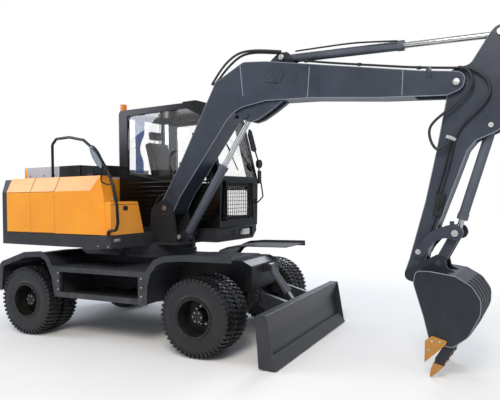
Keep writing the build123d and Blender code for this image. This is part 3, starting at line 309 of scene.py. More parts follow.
# oil film and light rust in spots of 20 mm, tool marks under 2 mm
stain = add_node(tree, "TexNoise", {"Scale": 50, "Detail": 5}, {"Vector": where})
tone = add_node(
    tree, "Mix", {6: colour("D8DBDE"), 7: colour("A39E97")}, {0: stain.outputs["Fac"]}, data_type="RGBA"
)
tree.links.new(tone.outputs[2], shader.inputs["Base Color"])
mark = add_node(tree, "TexNoise", {"Scale": 600, "Detail": 2}, {"Vector": where})
gloss = add_node(tree, "MapRange", {"To Min": 0.28, "To Max": 0.5}, {"Value": mark.outputs["Fac"]})
tree.links.new(gloss.outputs[0], shader.inputs["Roughness"])
relief = add_node(tree, "Bump", {"Strength": 0.2, "Distance": 0.0003}, {"Height": mark.outputs["Fac"]})
tree.links.new(relief.outputs[0], shader.inputs["Normal"])


def ring_of(count, radius):
    """Evenly spaced points (x, y) on a circle, in millimetres."""
    return [(radius * cos(2 * pi * i / count), radius * sin(2 * pi * i / count)) for i in range(count)]


bm = bmesh.new()
for x, y in ring_of(36, 508):
    rod(bm, (x, y, 1010), (x, y, 1013), 15, 16)
    rod(bm, (x, y, 1013), (x, y, 1028), 11.5, 6)
piece("bearing_bolts", bm, chassis_enamel, "chassis")
bm = bmesh.new()
race_teeth = 96
for i in range(race_teeth):
    made = bmesh.ops.create_cube(bm, size=1)["verts"]
    bmesh.ops.scale(bm, vec=(9, 14, 60), verts=made)
    bmesh.ops.translate(bm, vec=(501, 0, 1072), verts=made)
    turn = Matrix.Rotation(2 * pi * i / race_teeth, 3, "Z")
    bmesh.ops.rotate(bm, cent=(0, 0, 0), matrix=turn, verts=made)
piece("bearing_race_teeth", bm, chassis_enamel, "chassis")

# Side steps: pressed and welded plate, the step treads of punched grip plate, and a locker
# with three stiffening ribs across its back wall between the posts.
step_enamel = enamel("step_enamel", "2A2D34", "32353B", "6A655A", 0.42, 1.1, 0.6)
dress(step_enamel, "side_steps_right", "side_steps_left")
bm = bmesh.new()
for s in (-1, 1):
    for z in (585, 655, 725):
        block(bm, (-690, min(s * 400, s * 418), z), (500, max(s * 400, s * 418), z + 22), 6)
    for x in (-420, -60, 300):
        block(bm, (x - 4, min(s * 400, s * 640), 526), (x + 4, max(s * 400, s * 640), 560), 1)
piece("locker_ribs", bm, step_enamel, "chassis")
bm = bmesh.new()
for s in (-1, 1):
    for row in range(5):
        y = s * (740 + 66 * row)
        for column in range(17):
            x = -740 + 80 * column
            rod(bm, (x, y, 876), (x, y, 881), 17, 8, 12)
    for column in range(16):
        x = -715 + 84 * column
        rod(bm, (x, s * 1040, 876), (x, s * 1040, 880), 9, 8, 6)
piece("grip_treads", bm, step_enamel, "chassis")
bm = bmesh.new()
for s in (-1, 1):
    for x in (-716, 556):
        for z in (600, 700, 800):
            rod(bm, (x, s * 1060, z), (x, s * 1068, z), 11, 6)
piece("locker_bolts", bm, raw_steel, "chassis")

# Axles, steering knuckles and track rod: castings and forgings in the same enamel, with
# brake and steering hoses of braided rubber that leave the frame above each end.
dress(chassis_enamel, "front_axle", "rear_axle", "steering_rod", "knuckle_right", "knuckle_left")


def stock(name, tones, pattern, sockets=(), gloss=None, relief=None, grain=None, spread=None, stretch=None):
    """A material of two tones that a pattern mixes.

    pattern and grain are a kind of texture, its values and its settings. gloss is the roughness
    at both ends of the pattern, spread the part of the pattern that is mixed, and relief the
    strength and height of the bumps, which follow the grain or else the pattern."""
    material, tree, shader, where = start_material(name, sockets)
    if stretch:
        where = add_node(tree, "Mapping", {"Scale": stretch}, {"Vector": where}).outputs[0]

    def drawn(kind, values, settings=()):
        texture = add_node(tree, kind, values, {"Vector": where}, **dict(settings))
        return texture.outputs["Distance" if kind == "TexVoronoi" else "Fac"]

    mix = source = drawn(*pattern)
    if spread:
        ends = {"From Min": spread[0], "From Max": spread[1]}
        mix = add_node(tree, "MapRange", ends, {"Value": source}).outputs[0]
    tone = add_node(tree, "Mix", {6: colour(tones[0]), 7: colour(tones[1])}, {0: mix}, data_type="RGBA")
    tree.links.new(tone.outputs[2], shader.inputs["Base Color"])
    if gloss:
        dull = add_node(tree, "MapRange", {"To Min": gloss[0], "To Max": gloss[1]}, {"Value": source})
        tree.links.new(dull.outputs[0], shader.inputs["Roughness"])
    if relief:
        height = drawn(*grain) if grain else source
        bump = add_node(tree, "Bump", {"Strength": relief[0], "Distance": relief[1]}, {"Height": height})
        tree.links.new(bump.outputs[0], shader.inputs["Normal"])
    return material


# the wrap marks of a cured hose are about 4 mm apart
hose_rubber = stock(
    "braided_hose_rubber",
    ("17181B", "2A2B2E"),
    ("TexNoise", {"Scale": 250, "Detail": 2}),
    {"Roughness": 0.55},
    relief=(0.3, 0.0006),
)


def swept(routes, radius, closed=False):
    """Round tubes along routes: smooth curves through hose points, or closed loops of a bead."""
    curve = bpy.data.curves.new("route", "CURVE")
    curve.dimensions = "3D"
    curve.bevel_depth = radius
    curve.bevel_resolution = 2 if closed else 3
    curve.use_fill_caps = not closed
    for points in routes:
        spline = curve.splines.new("POLY" if closed else "NURBS")
        spline.points.add(len(points) - 1)
        for control, point in zip(spline.points, points):
            control.co = (*point, 1)
        if closed:
            spline.use_cyclic_u = True
        else:
            spline.order_u = 3
            spline.use_endpoint_u = True
            spline.resolution_u = 6
    source = bpy.data.objects.new("route", curve)
    mesh = bpy.data.meshes.new_from_object(source)
    bpy.data.objects.remove(source)
    bm = bmesh.new()
    bm.from_mesh(mesh)
    bpy.data.meshes.remove(mesh)
    return bm


def line(name, routes, radius, material, body, finish, place=GROUND):
    """Hoses or bent pipes, each along a smooth curve through its control points in millimetres."""
    piece(name, swept(routes, radius), material, body, place, 50)


def rows(route, sides):
    """The same route, given as (x, z), once at each y."""
    return [[(x, y, z) for x, z in route] for y in sides]


axle_hoses = [
    [
        (x - 30, s * 200, 600),
        (x - 40, s * 260, 560),
        (x - 70, s * 340, 640),
        (x - 60, s * (reach - 60), 600),
        (x - 40, s * reach, 520),
    ]
    for s in (-1, 1)
    for x, reach in ((1270, 470), (-1223, 560))
]
line("axle_hoses", axle_hoses, 9, hose_rubber, "chassis", "black_plastic")

# Tyres: worn block-tread rubber, two on each rim. Shoulder lugs stand round both edges with
# a staggered row between them; the walls are smooth with a raised bead ring.
# dried dust in patches of 60 mm over grey-black rubber, fine scuffs of 3 mm
tread_rubber = stock(
    "vulcanised_tyre_rubber",
    ("0C0E12", "1F2022"),
    ("TexNoise", {"Scale": 16, "Detail": 6, "Roughness": 0.7}),
    gloss=(0.3, 0.6),
    relief=(0.25, 0.0008),
    grain=("TexNoise", {"Scale": 330, "Detail": 3}),
    spread=(0.45, 0.8),
)
TREAD_RADIUS, GROOVE_RADIUS, LUGS = 428.5, 412, 48
tyre_profile = [
    (-92, 208), (-104, 222), (-106, 240), (-101, 250), (-107, 300), (-106, 350), (-98, 385),
    (-88, 404), (-60, GROOVE_RADIUS), (60, GROOVE_RADIUS), (88, 404), (98, 385), (106, 350),
    (107, 300), (101, 250), (106, 240), (104, 222), (92, 208),
]
for axle, axle_x in AXLES:
    for side, s in SIDES:
        bm = bmesh.new()
        for middle in (s * 762.5, s * 1012.5):
            section = [bm.verts.new((0, middle + y, r)) for y, r in tyre_profile]
            edges = [bm.edges.new(pair) for pair in zip(section, section[1:] + section[:1])]
            turn = {"cent": (0, 0, 0), "axis": (0, 1, 0), "angle": 2 * pi, "steps": 96}
            bmesh.ops.spin(bm, geom=section + edges, use_merge=True, **turn)
            lugs = []
            for width, y, r, lean in ((74, -68, 0, 0.14), (74, 68, 0.5, -0.14), (46, 0, 0.25, 0.5)):
                for i in range(LUGS):
                    made = bmesh.ops.create_cube(bm, size=1)["verts"]
                    bmesh.ops.scale(bm, vec=(34 if y else 28, width, 26), verts=made)
                    for v in made:
                        # shoulder lugs bend down over the tyre's edge, and all narrow upwards
                        if abs(v.co.y) > 0.4 * width and v.co.y * y > 0:
                            v.co.z -= 12 if v.co.z > 0 else 30
                            v.co.y += 3 * (1 if y > 0 else -1) if v.co.z < 0 else 0
                        if v.co.z > 0:
                            v.co.x *= 0.86
                    slant = Matrix.Rotation(-lean if y == 0 and i % 2 == 0 else lean, 3, "Z")
                    bmesh.ops.rotate(bm, cent=(0, 0, 0), matrix=slant, verts=made)
                    bmesh.ops.translate(bm, vec=(0, middle + y, TREAD_RADIUS - 13.5), verts=made)
                    turn = Matrix.Rotation(2 * pi * (i + r) / LUGS, 3, "Y")
                    bmesh.ops.rotate(bm, cent=(0, 0, 0), matrix=turn, verts=made)
                    lugs += made
            soften(bm, {e for v in lugs for e in v.link_edges}, 2.5, 1)
        bmesh.ops.translate(bm, vec=(axle_x, 0, WHEEL_Z), verts=bm.verts)
        end = f"{axle}_{side}"
        tyre = piece(f"tread_{end}", bm, tread_rubber, f"wheels_{end}", sharp=28)
        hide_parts(f"tyres_{end}")

# Rims: deep-dish pressed steel in dark paint, one for each pair of tyres, with ten wheel
# nuts round the hub, six small bolts on its cap and a tyre valve.
rim_enamel = enamel("rim_enamel", "0E0F10", "161718", "48443D", 0.45, 1.0, 0.6)
for axle, axle_x in AXLES:
    for side, s in SIDES:
        dress(rim_enamel, f"rim_{axle}_{side}")
        bm = bmesh.new()
        for x, z in ring_of(10, 99):
            nut = (axle_x + x, WHEEL_Z + z)
            rod(bm, (nut[0], s * 894, nut[1]), (nut[0], s * 902, nut[1]), 15, 16)
            rod(bm, (nut[0], s * 902, nut[1]), (nut[0], s * 922, nut[1]), 12, 6)
        for x, z in ring_of(6, 52):
            rod(bm, (axle_x + x, s * 1040, WHEEL_Z + z), (axle_x + x, s * 1048, WHEEL_Z + z), 7, 6)
        valve_z = WHEEL_Z + 110
        rod(bm, (axle_x + 150, s * 930, valve_z), (axle_x + 158, s * 1015, valve_z + 6), 5, 10)
        piece(f"wheel_nuts_{axle}_{side}", bm, raw_steel, f"wheels_{axle}_{side}")

# Dozer blade: rolled plate with a worn cutting edge along its lower rim, on two welded arms.
# Its cylinder is fed by a pair of hoses with plated fittings, from the frame's front.
blade_enamel = enamel("blade_enamel", "2B2D33", "32343A", "55524C", 0.4, 0.7, 0.2)
dress(blade_enamel, "blade")
# scratches run a few centimetres, grime between them
worn_edge = stock(
    "ground_worn_steel",
    ("37383C", "6C6D70"),
    ("TexNoise", {"Scale": 120, "Detail": 5, "Roughness": 0.7}),
    {"Metallic": 0.85},
    gloss=(0.35, 0.65),
    relief=(0.3, 0.0008),
    stretch=(1, 0.12, 1),
)
bm = bmesh.new()
outline(bm, [(2148, 132), (2158, 134), (2228, 12), (2211, 10)], 0, 2290, 2)
piece("blade_cutting_edge", bm, worn_edge, "blade")
bm = bmesh.new()
for s in (-1, 1):
    for y in (s * 330 - 52, s * 330 + 52):
        rod(bm, (1640, y, 560), (1640, y + (9 if y > s * 330 else -9), 560), 30, 24)
piece("blade_bolts", bm, raw_steel, "blade")

ram_enamel = enamel("cylinder_enamel", "4C515C", "575C67", "7D766A", 0.36, 1.2, 0.4)
dress(ram_enamel, "blade_cylinder_barrel")
# a thin oil film smeared along the rod, in marks of about 30 mm
chrome = stock(
    "hard_chrome",
    ("C9CCD0", "A9A8A4"),
    ("TexNoise", {"Scale": 33, "Detail": 4}),
    {"Metallic": 1.0},
    gloss=(0.12, 0.3),
)
dress(chrome, "blade_cylinder_rod")
HOSE_YS = (-70, 70)
blade_route = [(1223, 905), (1321, 831), (1405, 777), (1473, 722), (1526, 609)]
line("blade_hoses", rows(blade_route, HOSE_YS), 11, hose_rubber, "chassis", "black_plastic")
bm = bmesh.new()
for y in HOSE_YS:
    rod(bm, (1466, y, 730), (1480, y, 708), 16, 6)
piece("blade_hose_fittings", bm, raw_steel, "chassis")

# Upper deck: thick plate in charcoal enamel under the cab and hood, with the boom's bracket.
# Its front edge has two cooling slots and a bolted trim; a small plate is bolted to its corner.
deck_enamel = enamel("deck_enamel", "25262B", "2D2E33", "5A564E", 0.42, 1.6, 0.4)
dress(deck_enamel, "upper_deck")
# painted shade for slots, shut lines and holes: near-black, varied in patches of 30 mm
recess_shade = stock(
    "unlit_recess_paint",
    ("08090A", "15161A"),
    ("TexNoise", {"Scale": 30, "Detail": 3}),
    {"Roughness": 0.8},
)
SIDE_Y = -1103
# the two cooling slots are dark blocks of painted shade
bm = bmesh.new()
for z in (1196, 1236):
    block(bm, (880, 430, z), (887.5, 600, z + 18), 6)
piece("deck_slots", bm, recess_shade, "upper", PARKED)
bm = bmesh.new()
block(bm, (886, 140, 1284), (893, 1080, 1299), 2)
block(bm, (884, 150, 1128), (890, 640, 1136), 2)
for y in (180, 620, 1000):
    rod(bm, (886, y, 1150), (896, y, 1150), 11, 6)
piece("deck_front_trim", bm, deck_enamel, "upper", PARKED)
bm = bmesh.new()
for x in (60, 220):
    rod(bm, (x, SIDE_Y, 1150), (x, SIDE_Y - 8, 1150), 10, 6)
block(bm, (262, -1060, 1196), (266, -960, 1236), 2)
for y in (-1045, -975):
    rod(bm, (266, y, 1216), (274, y, 1216), 10, 6)
piece("deck_bolts", bm, raw_steel, "upper", PARKED)

# Counterweight: one heavy casting, its skin slightly rough under the paint, with two
# lifting sockets on top. The engine block has the same rough painted skin.
weight_paint = enamel("painted_casting", "26272C", "2E2F34", "5A564E", 0.52, 1.6, 0.35)
rough_skin = weight_paint.node_tree.nodes["Bump"]
rough_skin.inputs["Strength"].default_value = 0.35
rough_skin.inputs["Distance"].default_value = 0.0015
dress(weight_paint, "counterweight", "engine_block")
bm = bmesh.new()
for y in (-520, 520):
    rod(bm, (-1850, y, 1964), (-1850, y, 1972), 62, 28, edge=2)
    rod(bm, (-1850, y, 1972), (-1850, y, 1986), 30, 24, 24)
piece("lifting_sockets", bm, weight_paint, "upper", PARKED)

# Hood: pressed sheet doors and corners in yellow-orange enamel, shut lines a few
# millimetres wide, a flush latch on each door and the fuel filler's cap on top.
hood_enamel = enamel("hood_enamel", "E8981F", "E28E1C", "A98A5C", 0.3, 1.5, 0.2, 0.5)
dress(hood_enamel, "hood_shell", "hood_door_rear", "hood_door_middle", "tool_box")
# moulded grain of about 1.5 mm, drawn at 3 mm so that it shows
black_plastic = stock(
    "grained_black_plastic",
    ("0C0D0F", "191A1D"),
    ("TexNoise", {"Scale": 12, "Detail": 4}),
    {"IOR": 1.46},
    gloss=(0.4, 0.62),
    relief=(0.15, 0.0005),
    grain=("TexVoronoi", {"Scale": 330}),
)
for door, high in (("rear", -1157), ("middle", -700)):
    bm = bmesh.new()
    block(bm, (high - 110, SIDE_Y - 3, 1360), (high - 60, SIDE_Y, 1385), 3)
    piece(f"latch_{door}", bm, hood_enamel, f"hood_door_{door}", PARKED)
# the shut lines are thin strips and rods of painted shade
bm = bmesh.new()
block(bm, (-1640, SIDE_Y - 3, 1270), (120, SIDE_Y - 0.5, 1281), 1)
for x in (-1155, -695):
    # the shut line runs on over the chamfer and a little way over the top
    for low, high in (((-1104, 1797), (-1014, 1976)), ((-1014, 1976), (-700, 1976))):
        rod(bm, (x, *low), (x, *high), 3, 6)
piece("hood_shut_lines", bm, recess_shade, "upper", PARKED)
bm = bmesh.new()
rod(bm, (-250, -900, 1974), (-250, -900, 2004), 58, 32, 54, edge=5)
rod(bm, (-250, -900, 2004), (-250, -900, 2014), 22, 20, 20, edge=3)
piece("fuel_filler_cap", bm, black_plastic, "upper", PARKED)

# Engine cover: a folded steel lid, grey with a yellow-orange rear end, hinged at the left.
# Beside it stand the punched air box and the intake box, both black.
lid_enamel = enamel("lid_enamel", "A9AEB6", "B2B6BC", "8E8A80", 0.34, 2.0, 0.1, 0.5)
dress(lid_enamel, "engine_cover")
bm = bmesh.new()
block(bm, (-1602, -852, 1982), (-1540, 852, 2127), 10)
piece("lid_end_block", bm, hood_enamel, "engine_cover", PARKED)
bm = bmesh.new()
for y in (-600, 600):
    block(bm, (-1300, y - 30, 2124), (-1180, y + 30, 2130), 3)
for x in (-1480, -1200, -1000):
    rod(bm, (x, -850, 2010), (x, -856, 2010), 9, 6)
piece("lid_trim", bm, black_plastic, "engine_cover", PARKED)
box_black = enamel("box_black_enamel", "0B0C0E", "131418", "3C3A36", 0.4, 2.1, 0.1)
dress(box_black, "air_box", "intake_grille")
# the air box's punched holes are dark discs of painted shade
bm = bmesh.new()
for row in range(5):
    for column in range(24):
        x, z = -900 + 15 * column + (7 if row % 2 else 0), 2010 + 22 * row
        rod(bm, (x, -850.5, z), (x, -851.5, z), 4.6, 8)
piece("air_box_holes", bm, recess_shade, "upper", PARKED)

# Tool box: a pressed box before the hood, beside the boom, with raised treads on its lid,
# the lid's shut line below its edge and a rubber-lipped latch in front.
bm = bmesh.new()
box_top, tread_top = 1660, 1663.5
for row in range(6):
    for column in range(6):
        x, y = -60 + 52 * column + (26 if row % 2 else 0), -1060 + 70 * row
        if x < 240:
            block(bm, (x - 14, y - 3, box_top), (x + 14, y + 3, tread_top), 1, 1)
            block(bm, (x + 23, y + 32, box_top), (x + 29, y + 60, tread_top), 1, 1)
piece("grip_plate", bm, hood_enamel, "upper", PARKED)
# the lid's shut line is a thin strip of painted shade
bm = bmesh.new()
block(bm, (257.5, -1085, 1627), (259, -655, 1632), 0)
piece("tool_box_shut_line", bm, recess_shade, "upper", PARKED)
bm = bmesh.new()
block(bm, (258, -900, 1560), (265, -830, 1612), 4)
rod(bm, (265, -845, 1586), (270, -845, 1586), 10, 20)
piece("tool_box_latch", bm, black_plastic, "upper", PARKED)

# Handrail: bent tube in black enamel, welded to feet that are bolted down. Its oval mirror
# is silvered glass in a case on a stem.
rail_enamel = enamel("rail_enamel", "08090B", "101115", "3A3834", 0.34, 2.6, 0.1)
dress(rail_enamel, "handrails")
# dried drops of about 10 mm dull the mirror in spots
silvered = stock(
    "silvered_mirror_glass",
    ("C4CBD2", "AEB5BC"),
    ("TexNoise", {"Scale": 100, "Detail": 3}),
    {"Metallic": 1.0},
    gloss=(0.04, 0.2),
)
bm = bmesh.new()
upright = Matrix.Rotation(pi / 2, 4, "X")
bmesh.ops.create_cone(bm, cap_ends=True, segments=48, radius1=1, radius2=1, depth=2, matrix=upright)
bmesh.ops.scale(bm, vec=(158, 1, 41), verts=bm.verts)
bmesh.ops.rotate(bm, cent=(0, 0, 0), matrix=Matrix.Rotation(radians(-124.5), 3, "Y"), verts=bm.verts)
bmesh.ops.translate(bm, vec=(33, -1100, 2187), verts=bm.verts)
piece("rail_mirror_glass", bm, silvered, "upper", PARKED)
bm = bmesh.new()
for x in (386, 306):
    rod(bm, (x, -1110, 1700), (x, -1116, 1700), 9, 6)
piece("rail_foot_bolts", bm, raw_steel, "upper", PARKED)

# Cab: a welded steel cell in gloss black, its windows held by rubber seals, with a door
# handle, a wiper on the windscreen and ribs pressed into its wall beside the boom.
cab_enamel = enamel("cab_gloss_enamel", "08090B", "0E0F12", "3A3834", 0.26, 2.2, 0.2)
dress(cab_enamel, "cab_shell", "cab_door", "mirrors", "front_guard")
# chalky bloom in patches of 25 mm
seal_rubber = stock(
    "extruded_seal_rubber",
    ("0D0E10", "1F2022"),
    ("TexNoise", {"Scale": 40, "Detail": 3}),
    {"Roughness": 0.62},
)
clear = {"Base Color": (1, 1, 1, 1), "Transmission Weight": 1.0, "IOR": 1.5, "Specular IOR Level": 0.08}
glass, tree, shader, where = start_material("toughened_glass", clear)
# wiped dust, in smears of about 200 mm, blurs the panes a very little
smear = add_node(tree, "TexNoise", {"Scale": 5, "Detail": 4}, {"Vector": where})
haze = add_node(tree, "MapRange", {"To Min": 0.0, "To Max": 0.02}, {"Value": smear.outputs["Fac"]})
tree.links.new(haze.outputs[0], shader.inputs["Roughness"])
dress(glass, "cab_glass", "door_glass")


def seal_loop(points, y, radius, name, body, material=seal_rubber):
    """A round bead along a closed edge, such as a window's seal, given as (x, z)."""
    piece(name, swept(rows(points, (y,)), radius, closed=True), material, body, PARKED, 40)


right_window = [(-670, 2045), (-660, 2870), (400, 2885), (610, 2785), (800, 2000), (790, 1790)]
seal_loop(right_window, 147, 7, "window_seal_right", "upper")
quarter_window = [(-770, 2060), (-770, 2860), (-660, 2865), (-660, 2060)]
seal_loop(quarter_window, 1099, 7, "window_seal_quarter", "upper")
door_window = [(-520, 1930), (-520, 2800), (380, 2815), (560, 2740), (760, 1960), (750, 1880)]
seal_loop(door_window, 1099, 7, "window_seal_door", "cab_door")
low_window = [(-500, 1430), (-500, 1800), (765, 1800), (765, 1430)]
seal_loop(low_window, 1099, 7, "window_seal_low", "cab_door")
bm = bmesh.new()
block(bm, (600, 1098, 1824), (740, 1118, 1850), 8)
block(bm, (590, 1098, 1808), (630, 1110, 1866), 6)
piece("door_handle", bm, black_plastic, "cab_door", PARKED)
bm = bmesh.new()
rod(bm, (700, 300, 2755), (722, 300, 2700), 12, 16)
rod(bm, (716, 300, 2700), (830, 620, 2260), 6, 12)
rod(bm, (778, 470, 2480), (884, 640, 2060), 7, 10)
piece("windscreen_wiper", bm, black_plastic, "upper", PARKED)
bm = bmesh.new()
for i in range(9):
    z = 1400 + 62 * i
    block(bm, (-640, 141, z), (760, 149, z + 26), 6)
piece("cab_side_ribs", bm, cab_enamel, "upper", PARKED)

# Beacon and headlamp: an amber dome of fluted polycarbonate on the cab's rear corner, and a
# lamp with a clear barred lens in the deck's front.
# vertical lens flutes about 8 mm apart, drawn as lighter and darker bands of painted light and shade
amber = stock(
    "amber_polycarbonate",
    ("E07A12", "F59A22"),
    ("TexWave", {"Scale": 40}, {"bands_direction": "X"}),
    {"IOR": 1.58, "Roughness": 0.12, "Transmission Weight": 0.35},
)
dress(amber, "beacon")
# prism bars of the lens are 10 mm apart: bumps, with lighter and darker bands of painted light and shade
lens = stock(
    "clear_lamp_lens",
    ("F4F6F8", "DCE2E8"),
    ("TexWave", {"Scale": 32}, {"bands_direction": "Y"}),
    {"IOR": 1.5, "Roughness": 0.15},
    relief=(0.3, 0.001),
)
dress(lens, "headlamp")

# Cab inside: a moulded grey-black console and pods with two control levers, a monitor on its
# stalk by the windscreen, two pedals and an orange tool case on the floor behind the guard.
dress(black_plastic, "seat_base", "steering_column")
bm = bmesh.new()
for y in (290, 910):
    rod(bm, (10, y, 2008), (22, y, 2085), 11, 14)
    rod(bm, (20, y, 2075), (30, y, 2165), 21, 20, 25, edge=6)
    block(bm, (-40, y - 32, 2008), (50, y + 32, 2022), 6)
for y in (520, 680):
    block(bm, (590, y - 34, 1372), (690, y + 34, 1384), 4)
    rod(bm, (630, y, 1350), (630, y, 1376), 12, 14)
rod(bm, (640, 250, 1350), (650, 250, 2060), 13, 16)
block(bm, (632, 190, 2050), (668, 330, 2170), 10)
piece("cab_controls", bm, black_plastic, "upper", PARKED)
bm = bmesh.new()
block(bm, (500, 300, 1346), (600, 430, 1500), 12)
piece("cab_tool_case", bm, hood_enamel, "upper", PARKED)

# Seat: black leather over foam, a cushion, a backrest and a headrest on two posts. Each is
# swelled as stuffed cloth, and has sewn channels along it.
# leather grain of about 2 mm, drawn at 4 mm, and wear in patches of 150 mm
hide = stock(
    "black_seat_leather",
    ("08090B", "141619"),
    ("TexNoise", {"Scale": 7, "Detail": 4}),
    {"Specular IOR Level": 0.25},
    gloss=(0.35, 0.55),
    relief=(0.3, 0.0008),
    grain=("TexVoronoi", {"Scale": 250}),
)


def settle(bm, cap, pressure=0.0, voxel=0.0, held=(), frames=20):
    """Runs the cloth of a piece in metres and applies it; no point moves further than the cap."""
    mesh = bpy.data.meshes.new("cloth_at_rest")
    bm.to_mesh(mesh)
    bm.free()
    cover = bpy.data.objects.new("cloth_at_rest", mesh)
    bpy.context.scene.collection.objects.link(cover)
    if voxel:
        remesh = cover.modifiers.new("voxels", "REMESH")
        remesh.mode = "VOXEL"
        remesh.voxel_size = voxel
        graph = bpy.context.evaluated_depsgraph_get()
        cover.data = bpy.data.meshes.new_from_object(cover.evaluated_get(graph))
        cover.modifiers.clear()
    start = [v.co.copy() for v in cover.data.vertices]
    cloth = cover.modifiers.new("cover", "CLOTH").settings
    cloth.effector_weights.gravity = 0.0 if pressure else 0.2
    cloth.quality = 5
    if pressure:
        cloth.use_pressure = True
        cloth.uniform_pressure_force = pressure
    if held:
        cover.vertex_groups.new(name="held").add(list(held), 1.0, "REPLACE")
        cloth.vertex_group_mass = "held"
    for number in range(1, frames + 1):
        bpy.context.scene.frame_set(number)
    graph = bpy.context.evaluated_depsgraph_get()
    settled = bpy.data.meshes.new_from_object(cover.evaluated_get(graph))
    bm = bmesh.new()
    bm.from_mesh(settled)
    bm.verts.ensure_lookup_table()
    for vert, was in zip(bm.verts, start):
        moved = vert.co - was
        if moved.length > cap:
            vert.co = was + moved.normalized() * cap
    bpy.data.objects.remove(cover)
    bpy.data.meshes.remove(settled)
    bpy.context.scene.frame_set(1)
    return bm


SEAT_Y = 600
CHANNEL_HALF, CHANNEL_DEPTH = 0.011, 0.006
seat_parts = (
    ("seat_cushion", 462, ((-410, 1836), (-412, 1912), (66, 1938), (70, 1862), (28, 1836)), 0.014),
    ("seat_backrest", 440, ((-432, 1936), (-565, 2492), (-468, 2518), (-312, 1944)), 0.014),
    ("seat_headrest", 240, ((-558, 2545), (-578, 2660), (-508, 2676), (-474, 2566)), 0.01),
)
for name, width, corners, cap in seat_parts:
    bm = bmesh.new()
    outline(bm, corners, SEAT_Y, width)
    soften(bm, bm.edges, 22, 3, True)
    bm.transform(GROUND)
    bmesh.ops.recalc_face_normals(bm, faces=bm.faces)
    bm = settle(bm, cap, pressure=4.0, voxel=0.01)
    bm.normal_update()
    # two sewn channels 22 mm wide along each part
    for vert in bm.verts:
        off = abs(abs(vert.co.y - SEAT_Y / 1000) - 0.17 * width / 460)
        if off < CHANNEL_HALF:
            vert.co -= vert.normal * CHANNEL_DEPTH * (1 - off / CHANNEL_HALF)
    bmesh.ops.subdivide_edges(bm, edges=list(bm.edges), cuts=1, use_grid_fill=True, smooth=0.4)
    bm.transform(Matrix.Scale(1000, 4))
    pad = piece(name, bm, hide, "upper", PARKED, 70)
    if name == "seat_cushion":
        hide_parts("seat")
bm = bmesh.new()
for y in (SEAT_Y - 55, SEAT_Y + 55):
    rod(bm, (-510, y, 2500), (-514, y, 2570), 7, 14)
piece("headrest_posts", bm, chrome, "upper", PARKED)

# Curtain: a blue cotton strip drawn together and tied at the cab's rear post, hanging in
# deep folds from its rail. Its folds are modelled, then a short cloth run lets them settle.
# the weave is drawn at 3 mm, the sun's fading at 300 mm
cotton = stock(
    "dyed_curtain_cotton",
    ("2A62B8", "4A84D0"),
    ("TexNoise", {"Scale": 3.3, "Detail": 3}),
    {"Roughness": 0.85, "Sheen Weight": 0.3},
    relief=(0.3, 0.0008),
    grain=("TexVoronoi", {"Scale": 330}),
)
bm = bmesh.new()
bmesh.ops.create_grid(bm, x_segments=72, y_segments=60, size=0.5)
rail, hem, folds = 2905, 2068, 4
for vert in bm.verts:
    across, down = vert.co.x, 0.5 - vert.co.y
    tie = max(0.0, 1 - abs(down - 0.55) / 0.3)
    spread = 150 - 30 * down - 70 * tie * tie * (3 - 2 * tie)
    fold = (8.5 + 1.5 * tie) * sin(2 * pi * folds * across + 2.2 * down)
    vert.co = (
        -755 + 0.75 * spread * (across + 0.5) - 0.65 * fold,
        420 + 0.65 * spread * (across + 0.3) + 0.75 * fold,
        rail + (hem - rail) * down,
    )
bm.transform(GROUND)
# the rows at the rail and at the tie are held
held = [v.index for v in bm.verts if v.co.z > 2.89 or abs(v.co.z - 2.444) < 0.012]
bm = settle(bm, 0.004, held=held, frames=12)
area = sum(face.calc_area() for face in bm.faces)
bm.transform(Matrix.Scale(1000, 4))
curtain = piece("curtain_cloth", bm, cotton, "upper", PARKED, 80)
bm = bmesh.new()
block(bm, (-764, 402, 2436), (-694, 452, 2452), 5)
tie_band = piece("curtain_tie", bm, cotton, "upper", PARKED)
bm = bmesh.new()
rod(bm, (-768, 388, 2911), (-630, 508, 2911), 5, 12)
piece("curtain_rail", bm, chrome, "upper", PARKED)
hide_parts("curtain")

# Boom: a bent welded box in charcoal-blue enamel, its plate edges lined with painted highlight,
# with weld beads of the same painted highlight across its plate joints and pale discs over its pins.
boom_enamel = enamel("boom_enamel", "2F3541", "3A404C", "6A665E", 0.34, 2.0, 0.25)
dress(boom_enamel, "boom", "arm", "rocker", "link")
dress(ram_enamel, "boom_cylinder_barrel", "arm_cylinder_barrel", "bucket_cylinder_barrel")
dress(chrome, "boom_cylinder_rod", "arm_cylinder_rod", "bucket_cylinder_rod")
# painted highlight: a pale blue-grey enamel for strips along plate edges and for weld beads
painted_edge_highlight = enamel("rubbed_edge_enamel", "7C8492", "8A919D", "8A857B", 0.3, 2.0, 0.1)


def filleted(corners, steps=6):
    """The points along a closed outline whose corners are (x, z, radius)."""
    points = []
    for i, (x, z, radius) in enumerate(corners):
        here = Vector((x, z))
        before = (Vector(corners[i - 1][:2]) - here).normalized()
        after = (Vector(corners[(i + 1) % len(corners)][:2]) - here).normalized()
        half = before.angle(after) / 2
        if not radius:
            points.append(tuple(here))
            continue
        reach = radius / tan(half)
        centre = here + (before + after).normalized() * (radius / sin(half))
        for k in range(steps + 1):
            on = (here + before * reach).lerp(here + after * reach, k / steps) - centre
            points.append(tuple(centre + on.normalized() * radius))
    return points


boom_edge = [
    (215, 1600, 90), (330, 1760, 200), (558, 2113, 400), (969, 2819, 400), (1112, 3070, 120),
    (1504, 3262, 120), (1806, 3229, 400), (3512, 2901, 400), (3925, 2840, 75), (3905, 2690, 85),
    (3762, 2640, 60), (3540, 2655, 200), (3116, 2685, 300), (2349, 2765, 600), (1800, 2790, 200),
    (1430, 2739, 400), (1279, 2626, 400), (551, 1711, 300), (420, 1490, 90), (300, 1450, 90),
]
